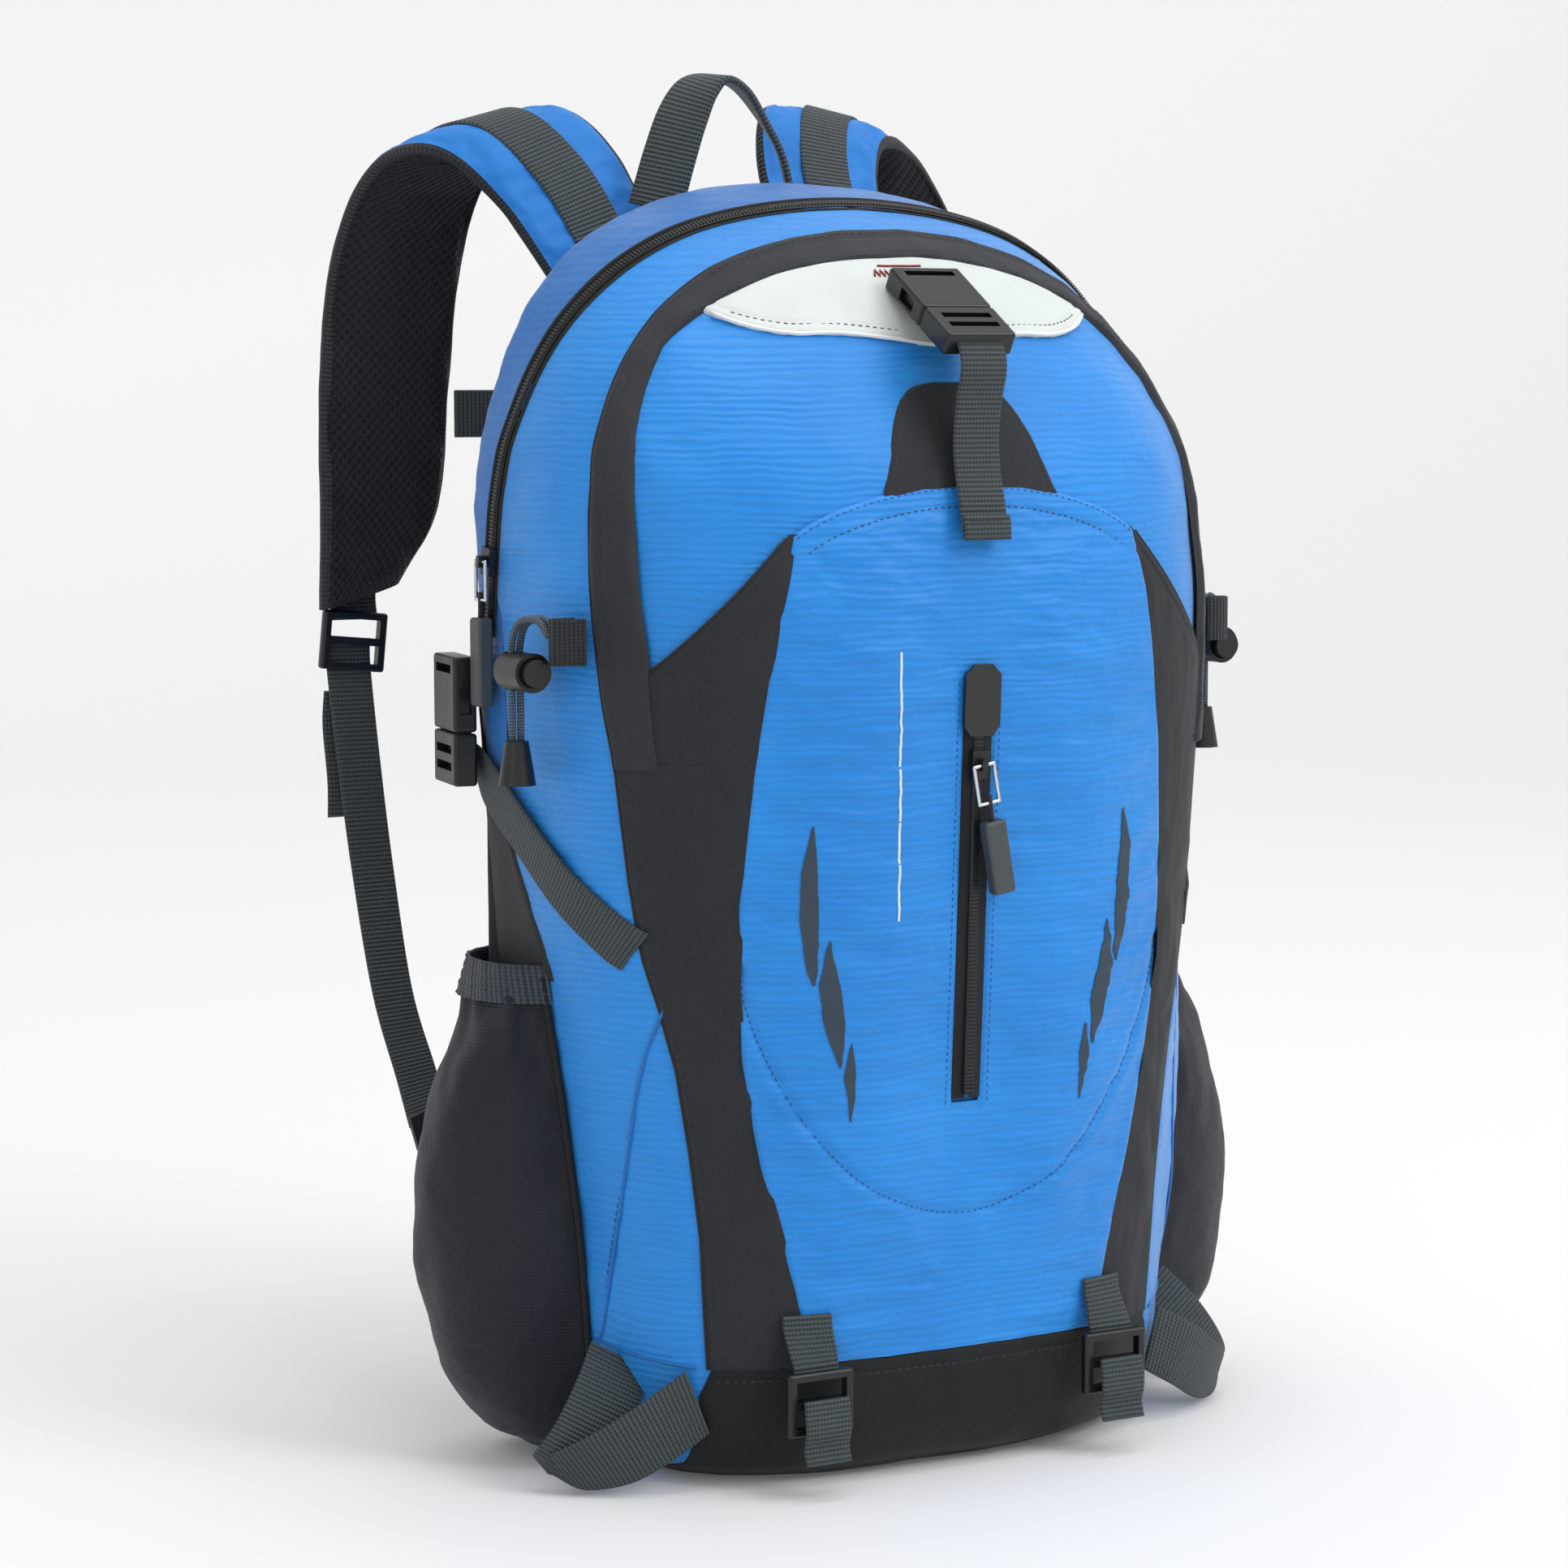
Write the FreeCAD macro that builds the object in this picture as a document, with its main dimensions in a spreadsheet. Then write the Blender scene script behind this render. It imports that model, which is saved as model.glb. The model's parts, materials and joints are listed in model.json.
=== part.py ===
"""Hiking daypack: a soft lofted bag with sewn panels, zips, buckles, cord locks and shoulder straps.

Frame: origin on the floor under the bag, +Z up, -Y the front (the side away from the wearer), +Y the
wearer's side, X across. Millimetres.
"""
import FreeCAD, Part
import math
import os

from FreeCAD import Placement, Rotation, Vector

DOC = FreeCAD.newDocument("daypack")

# ---------------------------------------------------------------------------------------------- driving sizes
SIZES = {
    # bag
    "wall": 3.0, "layer": 1.5, "layer_gap": 0.3, "fold_z": 345.0, "fold_y": -101.6, "fold_gap": 0.4,
    "zip_y": 22.0, "zip_lean": -0.15, "flap_y": -46.0, "flap_lean": 0.17, "band_y": -61.0, "band_lean": 0.14,
    "flap_low": 272.0, "base_top": 49.0, "pad_depth": 12.0, "sleeve_y": 44.0, "sleeve_thick": 1.4,
    # zips
    "coil_width": 3.4, "coil_thick": 1.1, "tape_width": 13.0, "front_zip_low": 150.0, "front_zip_top": 314.0,
    "front_slider_z": 283.0, "main_slider_z": 360.0, "front_slope": 3.18, "zip_slope": 8.53,
    "slider_width": 7.6, "slider_length": 11.0, "slider_plate": 1.5, "cheek_depth": 1.3, "cheek_width": 1.6,
    "lug_width": 2.6, "lug_length": 4.4, "lug_height": 3.4, "lug_bore": 0.81, "wire": 0.75,
    "ring_width": 9.0, "ring_length": 15.0, "cord_radius": 1.1, "pull_cord": 7.0,
    "tab_width": 9.5, "tab_length": 29.0, "tab_thick": 4.6,
    # side release buckles
    "buckle_width": 31.0, "buckle_length": 30.0, "buckle_thick": 9.6, "buckle_wall": 1.7,
    "slot_length": 3.4, "slot_width": 22.0, "web_bar": 3.4, "male_length": 21.0, "male_thick": 6.4,
    "prong_length": 19.0, "prong_width": 4.8, "prong_thick": 5.0, "tongue_width": 7.0,
    "cavity_length": 21.0, "cavity_width": 27.6, "cavity_height": 6.2, "buckle_gap": 0.5,
    "window_length": 11.0, "corner": 1.4,
    # ladder locks
    "lock_width": 29.0, "lock_length": 25.0, "lock_thick": 4.2, "lock_bar": 3.2,
    # cord locks
    "barrel_radius": 7.6, "barrel_length": 20.0, "button_radius": 5.4, "button_bore": 5.8,
    "button_length": 11.0, "bore_depth": 12.0, "cord_slot": 3.8, "cord_slot_wide": 7.4,
    "bungee_radius": 1.45, "bungee_pitch": 3.5, "end_top": 4.6, "end_base": 7.4, "end_height": 17.0,
    # straps
    "web": 20.0, "web_thick": 1.6, "strap_width": 62.0, "strap_thick": 12.0, "haul_depth": 18.0,
    "haul_thick": 2.6,
}
sheet = DOC.addObject("Spreadsheet::Sheet", "Sizes")
for row, (alias, value) in enumerate(SIZES.items(), start=1):
    sheet.set(f"A{row}", alias)
    sheet.set(f"B{row}", str(value))
    sheet.setAlias(f"B{row}", alias)
DOC.recompute()


def size(alias):
    """The value of one cell of the sheet."""
    return float(sheet.get(alias))


PARTS = {}


def keep(node, obj):
    """Registers a document object as the sub-part written to parts/NODE.step."""
    obj.Label = node
    PARTS[node] = obj
    return obj


def feature(node, *shapes):
    """A soft or skin-like sub-part, whose shape no Part primitive can make. Several shapes stay separate solids."""
    solids = [solid for shape in shapes for solid in shape.Solids]
    obj = DOC.addObject("Part::Feature", node)
    obj.Shape = solids[0] if len(solids) == 1 else Part.makeCompound(solids)
    obj.Placement = Placement()
    return keep(node, obj)


# ---------------------------------------------------------------------------------------------- bag surface
# The bag at each height: half width, front y, back y, front squareness, y of the widest point, back squareness.
LEVELS = [
    (1.8, 108.0, -66.0, 54.0, 3.0, 20.0, 4.0),
    (9.0, 119.0, -78.5, 62.0, 3.0, 20.0, 4.0),
    (24.0, 127.0, -84.5, 66.0, 3.0, 20.0, 4.2),
    (60.0, 131.0, -86.0, 66.0, 3.0, 20.0, 4.2),
    (130.0, 136.0, -88.0, 66.0, 3.0, 20.0, 4.2),
    (210.0, 141.0, -92.5, 66.0, 3.0, 20.0, 4.2),
    (290.0, 146.5, -96.9, 66.0, 3.0, 22.0, 4.2),
    (315.0, 148.0, -98.3, 66.0, 2.95, 23.0, 4.2),
    (345.0, 148.5, -98.6, 66.0, 2.9, 24.0, 4.2),
    (375.0, 148.5, -95.4, 66.0, 2.75, 25.0, 4.2),
    (400.0, 146.5, -89.6, 66.0, 2.65, 27.0, 4.1),
    (420.0, 141.0, -81.0, 66.0, 2.55, 30.0, 4.0),
    (445.0, 131.0, -66.0, 66.0, 2.35, 36.0, 3.8),
    (468.0, 116.0, -49.0, 66.0, 2.15, 42.0, 3.5),
    (486.0, 97.0, -28.0, 65.0, 2.0, 46.0, 3.2),
    (499.0, 74.0, 0.0, 64.0, 1.9, 50.0, 2.8),
    (507.0, 46.0, 25.0, 62.0, 1.8, 50.0, 2.6),
]


def level_at(z):
    """The bag's outline numbers at any height, by smooth interpolation between LEVELS."""
    heights = [level[0] for level in LEVELS]
    z = min(max(z, heights[0]), heights[-1])
    i = max(k for k in range(len(heights) - 1) if heights[k] <= z)
    span = heights[i + 1] - heights[i]
    t = (z - heights[i]) / span

    def slope(k, column):
        if k == 0 or k == len(LEVELS) - 1:
            k0, k1 = (0, 1) if k == 0 else (k - 1, k)
            return (LEVELS[k1][column] - LEVELS[k0][column]) / (heights[k1] - heights[k0])
        before = (LEVELS[k][column] - LEVELS[k - 1][column]) / (heights[k] - heights[k - 1])
        after = (LEVELS[k + 1][column] - LEVELS[k][column]) / (heights[k + 1] - heights[k])
        return 0.0 if before * after <= 0 else 2 * before * after / (before + after)

    out = []
    for column in range(1, 7):
        a, b = LEVELS[i][column], LEVELS[i + 1][column]
        out.append(a * (1 + 2 * t) * (1 - t) ** 2 + span * slope(i, column) * t * (1 - t) ** 2
                   + b * t * t * (3 - 2 * t) + span * slope(i + 1, column) * t * t * (t - 1))
    return out


def front_y(z):
    """The y of the bag's front face on the centre line."""
    return level_at(z)[1]


def side_x(y, z):
    """The half width of the bag at one y and height."""
    half, front, back, square, middle, back_square = level_at(z)
    reach, power = (middle - front, square) if y < middle else (back - middle, back_square)
    return half * max(0.0, 1 - (abs(y - middle) / reach) ** power) ** (1 / power)


def smooth_loop(points):
    """A closed smooth wire through the points; equal steps keep the lofts through several loops light."""
    curve = Part.BSplineCurve()
    curve.interpolate(Points=points, PeriodicFlag=True, Parameters=[float(i) for i in range(len(points) + 1)])
    return Part.Wire([curve.toShape()])


def ring(z, level, grow):
    """One closed horizontal outline of the bag, grown outwards by grow."""
    half, front, back, square, middle, back_square = level
    points = []
    count = 48
    for i in range(count):
        a = 2 * math.pi * i / count
        c, s = math.cos(a), math.sin(a)
        power, reach = (square, middle - front) if s < 0 else (back_square, back - middle)
        x = (half + grow) * math.copysign(abs(c) ** (2 / power), c)
        y = middle + (reach + grow) * math.copysign(abs(s) ** (2 / power), s)
        points.append(Vector(x, y, z))
    return smooth_loop(points)


BAGS = {}


def bag(grow):
    """The bag's outer form as one closed solid, grown outwards by grow (inwards if negative)."""
    if grow not in BAGS:
        rings = []
        for i, level in enumerate(LEVELS):
            lift = -grow if i == 0 else (grow if i >= len(LEVELS) - 2 else 0.0)
            rings.append(ring(level[0] + lift, level[1:], grow))
        BAGS[grow] = Part.makeLoft(rings, True, False)
    return BAGS[grow]


def layer(inner, outer, *regions):
    """The layer of the bag between two offsets of its surface, inside all the given regions."""
    shape = bag(outer)
    for region in regions:
        shape = shape.common(region)
    return shape.cut(bag(inner))


FAR = 420.0


def box(x0, x1, y0, y1, z0, z1):
    """A plain block between two corners."""
    return Part.makeBox(x1 - x0, y1 - y0, z1 - z0, Vector(x0, y0, z0))


def slab(y_at_350, lean, depth):
    """A thick leaning slab that starts on the plane through y_at_350 at z 350 and runs depth along Y."""
    low, high = -60.0, 660.0
    corners = []
    for shift, ends in ((0.0, (low, high)), (depth, (high, low))):
        corners += [Vector(-FAR, y_at_350 + lean * (z - 350) + shift, z) for z in ends]
    return Part.Face(Part.makePolygon(corners + corners[:1])).extrude(Vector(2 * FAR, 0, 0))


def prism(plane, corners, low, high):
    """A block whose outline is given in the XZ or the YZ plane and which runs from low to high across it."""
    if plane == "xz":
        points, run = [Vector(a, low, b) for a, b in corners], Vector(0, high - low, 0)
    else:
        points, run = [Vector(low, a, b) for a, b in corners], Vector(high - low, 0, 0)
    return Part.Face(Part.makePolygon(points + points[:1])).extrude(run)


def mirrored(shape):
    """The same shape on the other side of the bag."""
    return shape.mirror(Vector(0, 0, 0), Vector(1, 0, 0))


# ---------------------------------------------------------------------------------------------- shells
GAP, LAYER, WALL = size("layer_gap"), size("layer"), size("wall")
FOLD, FOLD_GAP = size("fold_z"), size("fold_gap")
SKIN, COVER = (-WALL, 0.0), (GAP, GAP + LAYER)
in_front = slab(size("zip_y") - 1.4, size("zip_lean"), -FAR)
behind_zip = slab(size("zip_y") + 0.8, size("zip_lean"), FAR)
above_fold = box(-FAR, FAR, -FAR, FAR, FOLD + FOLD_GAP, 700)
below_fold = box(-FAR, FAR, -FAR, FAR, -50, FOLD - FOLD_GAP)
front_low = box(-FAR, FAR, -FAR, 16.0, -50, FOLD - FOLD_GAP)
rear_low = box(-FAR, FAR, 16.0, FAR, -50, FOLD - FOLD_GAP)
rear_high = behind_zip.common(box(-FAR, FAR, -FAR, FAR, FOLD - FOLD_GAP, 700))

feature("rear_shell", layer(*SKIN, rear_low.fuse(rear_high)))
feature("front_shell", layer(*SKIN, front_low))
feature("hood_shell", layer(*SKIN, above_fold, in_front))

# storm flap: an arch shaped band over the top, split at the fold
flap = (slab(size("flap_y"), size("flap_lean"), -FAR), slab(size("band_y"), size("band_lean"), FAR))
feature("storm_flap", layer(*COVER, above_fold, *flap))
feature("storm_flap_ends", layer(*COVER, box(-FAR, FAR, -FAR, 0, size("flap_low"), FOLD - FOLD_GAP), *flap))

# front pocket and its top band
POCKET = [(66, 51), (84, 108), (95, 165), (98, 220), (95, 280), (88, 330), (77, 372), (42, 386), (0, 391)]
pocket_line = [(-x, z) for x, z in POCKET[:-1]] + [(x, z) for x, z in reversed(POCKET)]
pocket = prism("xz", pocket_line, -160, -20)
zip_slot = box(-7.0, 7.0, -160, -20, size("front_zip_low") - 2, size("front_zip_top") + 2)
feature("front_pocket", layer(*COVER, pocket, below_fold).cut(zip_slot))
feature("pocket_top_band", layer(*COVER, pocket, above_fold))

# dark panels: between the front pocket and the side gussets, and high on the rear of the sides
FRONT = [(69.5, 51), (88, 108), (98.5, 165), (101, 220), (98.5, 271), (160, 271), (160, 51)]
REAR = [(24, 206), (52, 206), (52, 318), (42, 318)]
front_panel = layer(*COVER, prism("xz", FRONT, -160, -30), slab(-46.5, 0.074, -FAR))
rear_panel = layer(*COVER, prism("yz", REAR, 60, 200))
feature("side_panels", front_panel, rear_panel, mirrored(front_panel), mirrored(rear_panel))

# top patch and strap tab
PATCH = [(100, 520), (100, 463), (84, 457), (46, 448), (0, 444)]
patch_line = PATCH + [(-x, z) for x, z in reversed(PATCH[:-1])]
feature("top_patch", layer(*COVER, prism("xz", patch_line, -160, 40),
                           slab(size("band_y") - 1, size("band_lean"), -FAR)))
TAB = [(37, 392.5), (31, 412), (17, 427), (-17, 427), (-31, 412), (-37, 392.5)]
feature("strap_tab", layer(*COVER, prism("xz", TAB, -160, -20)))

# base panel: the underside and the low front
LOW = [(-104, -20), (-104, 40), (-100, 49), (100, 49), (104, 40), (104, -20)]
feature("base_panel", layer(*COVER, prism("xz", LOW, -160, 52)))


# ---------------------------------------------------------------------------------------------- zips
ZIP = size("zip_y")


def along_zip(y0, y1):
    """The region between two planes that lean like the main zip, above the fold."""
    return slab(y0, size("zip_lean"), y1 - y0), box(-FAR, FAR, -FAR, FAR, FOLD - 2, 700)


feature("main_zip", layer(GAP, 1.1, *along_zip(ZIP + 0.8, ZIP + 7.0)),
        layer(1.2, 2.3, *along_zip(ZIP + 1.0, ZIP + 1.0 + size("coil_width"))))
feature("front_zip_tape", layer(GAP, 1.1, box(-6.5, 6.5, -160, -20, size("front_zip_low"), size("front_zip_top"))))
GARAGE = [(-8, 318), (-8, 298), (-5, 294), (5, 294), (8, 298), (8, 318), (4, 322), (-4, 322)]
feature("zip_garage", layer(2.9, 4.3, prism("xz", GARAGE, -160, -20)))


def block(name, length, width, height, at=(0, 0, 0), centre_y=True):
    """A Part box whose sizes are expressions; at is the middle of its low end in X, its middle in Y and Z."""
    obj = DOC.addObject("Part::Box", name)
    for prop, expression in (("Length", length), ("Width", width), ("Height", height)):
        obj.setExpression(prop, expression)
    x, y, z = at
    obj.setExpression("Placement.Base.x", str(x))
    obj.setExpression("Placement.Base.y", f"({y}) - ({width}) / 2")
    obj.setExpression("Placement.Base.z", f"({z}) - ({height}) / 2")
    return obj


def rod(name, radius, length, at=(0, 0, 0), axis=(0, 0, 1)):
    """A Part cylinder whose radius and length are expressions."""
    obj = DOC.addObject("Part::Cylinder", name)
    obj.setExpression("Radius", radius)
    obj.setExpression("Height", length)
    obj.Placement = Placement(Vector(*at), Rotation(Vector(0, 0, 1), Vector(*axis)))
    return obj


def joined(name, objects):
    """One fused solid of several document objects."""
    obj = DOC.addObject("Part::MultiFuse", name)
    obj.Shapes = objects
    obj.Refine = True
    return obj


def carved(name, base, tools):
    """A document object with others cut out of it."""
    obj = DOC.addObject("Part::Cut", name)
    obj.Base = base
    obj.Tool = tools[0] if len(tools) == 1 else joined(name + "_cuts", tools)
    obj.Refine = True
    return obj


def rounded(name, base, expression="Sizes.corner"):
    """A box with all twelve edges rounded."""
    DOC.recompute()
    radius = size(expression.split(".")[1])
    obj = DOC.addObject("Part::Fillet", name)
    obj.Base = base
    obj.Edges = [(i, radius, radius) for i in range(1, 13)]
    return obj


def placed(node, obj, where):
    """Keeps a finished hard part at its place on the bag."""
    obj.Placement = where
    return keep(node, obj)


def turn(*steps):
    """A rotation made of (axis, degrees) steps, the first one applied first."""
    out = Rotation()
    for axis, degrees in steps:
        out = Rotation(Vector(*axis), degrees).multiply(out)
    return out


X, Y, Z = (1, 0, 0), (0, 1, 0), (0, 0, 1)


def front_coil():
    """The straight coil of the front zip."""
    low, run = size("front_zip_low") + 2, size("front_zip_top") - size("front_zip_low") - 6
    bar = DOC.addObject("Part::Box", "front_coil_bar")
    bar.setExpression("Length", "Sizes.coil_width")
    bar.setExpression("Width", "Sizes.coil_thick")
    bar.Height = run
    at = Vector(-size("coil_width") / 2, front_y(low) - 1.4 - size("coil_thick"), low)
    return placed("front_zip_coil", bar, Placement(at, turn((X, size("front_slope")))))


def slider(node, where, tilt):
    """A zip slider over a coil that runs along local Z, with the cloth on its +Y side and the lug on its -Y side."""
    s = "Sizes."
    plate = block(node + "_plate", s + "slider_width", s + "slider_plate", s + "slider_length")
    plate.setExpression("Placement.Base.x", "-Sizes.slider_width / 2")
    cheeks = []
    for side in (-1, 1):
        cheek = block(node + "_cheek", s + "cheek_width", s + "cheek_depth", s + "slider_length",
                      (0, "(Sizes.slider_plate + Sizes.cheek_depth) / 2", 0))
        edge = "-Sizes.slider_width / 2" if side < 0 else "Sizes.slider_width / 2 - Sizes.cheek_width"
        cheek.setExpression("Placement.Base.x", edge)
        cheeks.append(cheek)
    lug = block(node + "_lug", s + "lug_width", s + "lug_height", s + "lug_length",
                (0, "-(Sizes.slider_plate + Sizes.lug_height) / 2", 0))
    lug.setExpression("Placement.Base.x", "-Sizes.lug_width / 2")
    pin = Vector(0, -size("slider_plate") / 2 - size("lug_height") / 2 - 0.2, 0)
    across = turn((Y, tilt)).multVec(Vector(1, 0, 0))
    bore = rod(node + "_bore", s + "lug_bore", "8", tuple(pin - across * 4), tuple(across))
    body = carved(node, joined(node + "_body", [plate, lug] + cheeks), [bore])
    placed(node, body, where)
    return where.multVec(pin), where.Rotation.multVec(across)


def pull(prefix, where, tab_length="Sizes.tab_length"):
    """A wire ring on a pin along local X that hangs down local -Z, with a cord loop and a rubber tab."""
    s = "Sizes."
    w, h, r, c = size("ring_width") / 2, size("ring_length"), size("wire"), size("cord_radius")
    pieces = [rod(prefix + "_pin", s + "wire", s + "ring_width", (-w, 0, 0), X),
              rod(prefix + "_foot", s + "wire", s + "ring_width", (-w, 0, -h), X),
              rod(prefix + "_left", s + "wire", s + "ring_length", (-w, 0, -h)),
              rod(prefix + "_right", s + "wire", s + "ring_length", (w, 0, -h))]
    for x in (-w, w):
        for z in (0, -h):
            ball = DOC.addObject("Part::Sphere", prefix + "_ball")
            ball.setExpression("Radius", s + "wire")
            ball.Placement.Base = Vector(x, 0, z)
            pieces.append(ball)
    placed(prefix + "_ring", joined(prefix + "_ring", pieces), where)
    bend = r + c + 0.06
    low = -h - size("pull_cord")
    left = Part.makeLine(Vector(0, -bend, low), Vector(0, -bend, -h))
    arc = Part.Arc(Vector(0, -bend, -h), Vector(0, 0, -h + bend), Vector(0, bend, -h)).toShape()
    right = Part.makeLine(Vector(0, bend, -h), Vector(0, bend, low))
    path = Part.Wire([left, arc, right])
    profile = Part.Wire([Part.makeCircle(c, Vector(0, -bend, low), Vector(0, 0, 1))])
    cord = path.makePipeShell([profile], True, True)
    cord.Placement = where
    obj = DOC.addObject("Part::Feature", prefix + "_cord")
    obj.Shape = cord
    keep(prefix + "_cord", obj)
    tab = block(prefix + "_tab_block", s + "tab_width", "2 * (Sizes.cord_radius * 2 + Sizes.wire) + 0.4", tab_length)
    tab.setExpression("Placement.Base.x", "-Sizes.tab_width / 2")
    tab.setExpression("Placement.Base.z", f"-Sizes.ring_length - Sizes.pull_cord - 0.06 - {tab_length}")
    placed(prefix + "_tab", rounded(prefix + "_tab", tab), where)


front_coil()
FRONT_Z, MAIN_Z = size("front_slider_z"), size("main_slider_z")
proud = 1.4 + size("coil_thick") + 0.35 + size("slider_plate") / 2
front_at = Placement(Vector(0, front_y(FRONT_Z) - proud, FRONT_Z), turn((X, size("front_slope"))))
TILT = -10.0
pin, across = slider("front_slider", front_at, TILT)
pull("front_pull", Placement(pin, turn((Y, TILT))))
FRONT_PIN = (pin, across)
proud = 2.3 + 0.5 + size("slider_plate") / 2
main_y = ZIP + 1.0 + size("coil_width") / 2 + size("zip_lean") * (MAIN_Z - 350)
main_at = Placement(Vector(-148.5 - proud, main_y, MAIN_Z), turn((Z, -90), (X, size("zip_slope"))))
pin, across = slider("main_slider", main_at, -size("zip_slope"))
pull("main_pull", Placement(pin, turn((Z, -90))), "(Sizes.tab_length + 6)")
MAIN_PIN = (pin, across)


# ---------------------------------------------------------------------------------------------- buckles and locks
def socket(node, where):
    """Female half: webbing bar at local x 0, mouth at local x = buckle_length, width along Y, thickness along Z."""
    s = "Sizes."
    body = rounded(node + "_round", block(node + "_case", s + "buckle_length", s + "buckle_width", s + "buckle_thick"))
    slot = block(node + "_slot", s + "slot_length", s + "slot_width", "Sizes.buckle_thick * 2", (s + "web_bar", 0, 0))
    hollow = block(node + "_hollow", "Sizes.cavity_length + 1", s + "cavity_width", s + "cavity_height",
                   ("Sizes.buckle_length - Sizes.cavity_length", 0, 0))
    windows = block(node + "_windows", s + "window_length", "Sizes.buckle_width * 2", "Sizes.cavity_height - 1",
                    ("Sizes.buckle_length - Sizes.cavity_length + 3", 0, 0))
    return placed(node, carved(node, body, [slot, hollow, windows]), where)


def prongs(node, where):
    """Male half in the same local frame as its socket: ladder end with two bars, a tongue and two side prongs."""
    s = "Sizes."
    start = "(Sizes.buckle_length + Sizes.buckle_gap)"
    body = rounded(node + "_round", block(node + "_end", s + "male_length", s + "buckle_width", s + "buckle_thick",
                                          (start, 0, 0)))
    ladder = []
    for step in (0, 1):
        at = f"{start} + 5 + {step} * (Sizes.slot_length + Sizes.web_bar)"
        ladder.append(block(node + "_slot", s + "slot_length", s + "slot_width", "Sizes.buckle_thick * 2", (at, 0, 0)))
    fingers = []
    side = "(Sizes.cavity_width / 2 - Sizes.prong_width / 2 - Sizes.buckle_gap)"
    for y, width in (("-" + side, "prong_width"), (side, "prong_width"), ("0", "tongue_width")):
        fingers.append(block(node + "_finger", "Sizes.prong_length + 3", s + width, s + "prong_thick",
                             (f"{start} - Sizes.prong_length", y, 0)))
    return placed(node, carved(node, joined(node + "_body", [body] + fingers), ladder), where)


def ladder_lock(node, where):
    """Three bar webbing adjuster, its length along local X from 0, width along Y, thickness along Z."""
    s = "Sizes."
    body = rounded(node + "_round", block(node + "_plate", s + "lock_length", s + "lock_width", s + "lock_thick"))
    opening = "((Sizes.lock_length - 3 * Sizes.lock_bar) / 2)"
    slots = []
    for step in (0, 1):
        at = f"Sizes.lock_bar + {step} * ({opening} + Sizes.lock_bar)"
        slots.append(block(node + "_slot", opening, s + "slot_width", "Sizes.lock_thick * 2", (at, 0, 0)))
    return placed(node, carved(node, body, slots), where)


def frame_of(origin, along, normal):
    """A placement whose local X runs along one direction and whose local Z is close to another."""
    x = Vector(*along).normalize()
    z = Vector(*normal)
    z = (z - x * z.dot(x)).normalize()
    return Placement(Vector(*origin), Rotation(x, z.cross(x), z, "XZY"))


LENGTH = size("buckle_length")
# top buckle, sloping down and forward from the patch
top_axis = Vector(0, -0.86, -0.51).normalize()
top_at = frame_of((0, -54.4, 470.7), tuple(top_axis), (0, -0.51, 0.86))
socket("top_socket", top_at)
prongs("top_prongs", top_at)
# compression strap buckles, upright on the rear corners; the mouth faces down
SIDE_BUCKLE = {}
for side, name in ((-1, "left"), (1, "right")):
    SIDE_BUCKLE[name] = frame_of((side * 155.5, 47.0, 322.0), (0, 0.0, -1), (side, 0.16, 0))
    prongs("side_prongs_" + name, SIDE_BUCKLE[name])
pair = [socket("side_socket_" + name, SIDE_BUCKLE[name]) for name in ("left", "right")]
DOC.recompute()
for obj in pair:
    PARTS.pop(obj.Label)
both = DOC.addObject("Part::Compound", "side_sockets")
both.Links = pair
keep("side_sockets", both)

# ---------------------------------------------------------------------------------------------- webbing
def ribbon(stations, width, thick, power=5.0, samples=16):
    """A soft solid lofted through cross sections; a station is (centre, width direction, normal, width scale)."""
    wires = []
    for centre, across, normal, scale in stations:
        a = Vector(*across).normalize()
        n = Vector(*normal)
        n = (n - a * n.dot(a)).normalize()
        points = []
        for i in range(samples):
            angle = 2 * math.pi * (i + 0.5) / samples
            c, s = math.cos(angle), math.sin(angle)
            u = width * scale / 2 * math.copysign(abs(c) ** (2 / power), c)
            v = thick / 2 * math.copysign(abs(s) ** (2 / power), s)
            points.append(Vector(*centre) + a * u + n * v)
        wires.append(Part.makePolygon(points + points[:1]))
    return Part.makeLoft(wires, True, False)


def flat_band(line, thick, low, high, plane="yz"):
    """Webbing whose edge line lies in the YZ (or XZ) plane: the line is thickened and run from low to high."""
    def offset(side):
        out = []
        for i, (a, b) in enumerate(line):
            a0, b0 = line[max(i - 1, 0)]
            a1, b1 = line[min(i + 1, len(line) - 1)]
            length = math.hypot(a1 - a0, b1 - b0)
            out.append((a - side * thick / 2 * (b1 - b0) / length, b + side * thick / 2 * (a1 - a0) / length))
        return out
    return prism(plane, offset(1) + list(reversed(offset(-1))), low, high)


WEB, WEB_T = size("web"), size("web_thick")
# top strap: from under the male ladder down to the tab, with the loose tail in front
feature("top_strap", flat_band([(-101.5, 434.0), (-98.5, 424.0), (-96.2, 410.0), (-97.2, 397.0), (-101.0, 383.0),
                                (-103.6, 370.5)], WEB_T, -WEB / 2, WEB / 2))
feature("top_strap_anchor", flat_band([(-54.2, 472.5), (-52.4, 472.9), (-50.2, 472.2)], WEB_T, -WEB / 2, WEB / 2))

# compression straps on the sides, over the cloth
BAND = [(-46, 206), (-40, 226), (44, 284), (56, 266), (30, 252), (-38, 206)]
strap_side = layer(GAP + LAYER + 0.2, GAP + LAYER + 0.2 + WEB_T, prism("yz", BAND, 60, 200))
feature("compression_straps", strap_side, mirrored(strap_side))


def foil(z, out_x, middle, reach, centre_x):
    """One horizontal outline of a side pocket."""
    points = []
    for i in range(28):
        a = 2 * math.pi * i / 28
        c, s = math.cos(a), math.sin(a)
        points.append(Vector(centre_x + (out_x - centre_x) * math.copysign(abs(c) ** 0.85, c),
                             middle + reach * math.copysign(abs(s) ** 0.85, s), z))
    return smooth_loop(points)


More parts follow.
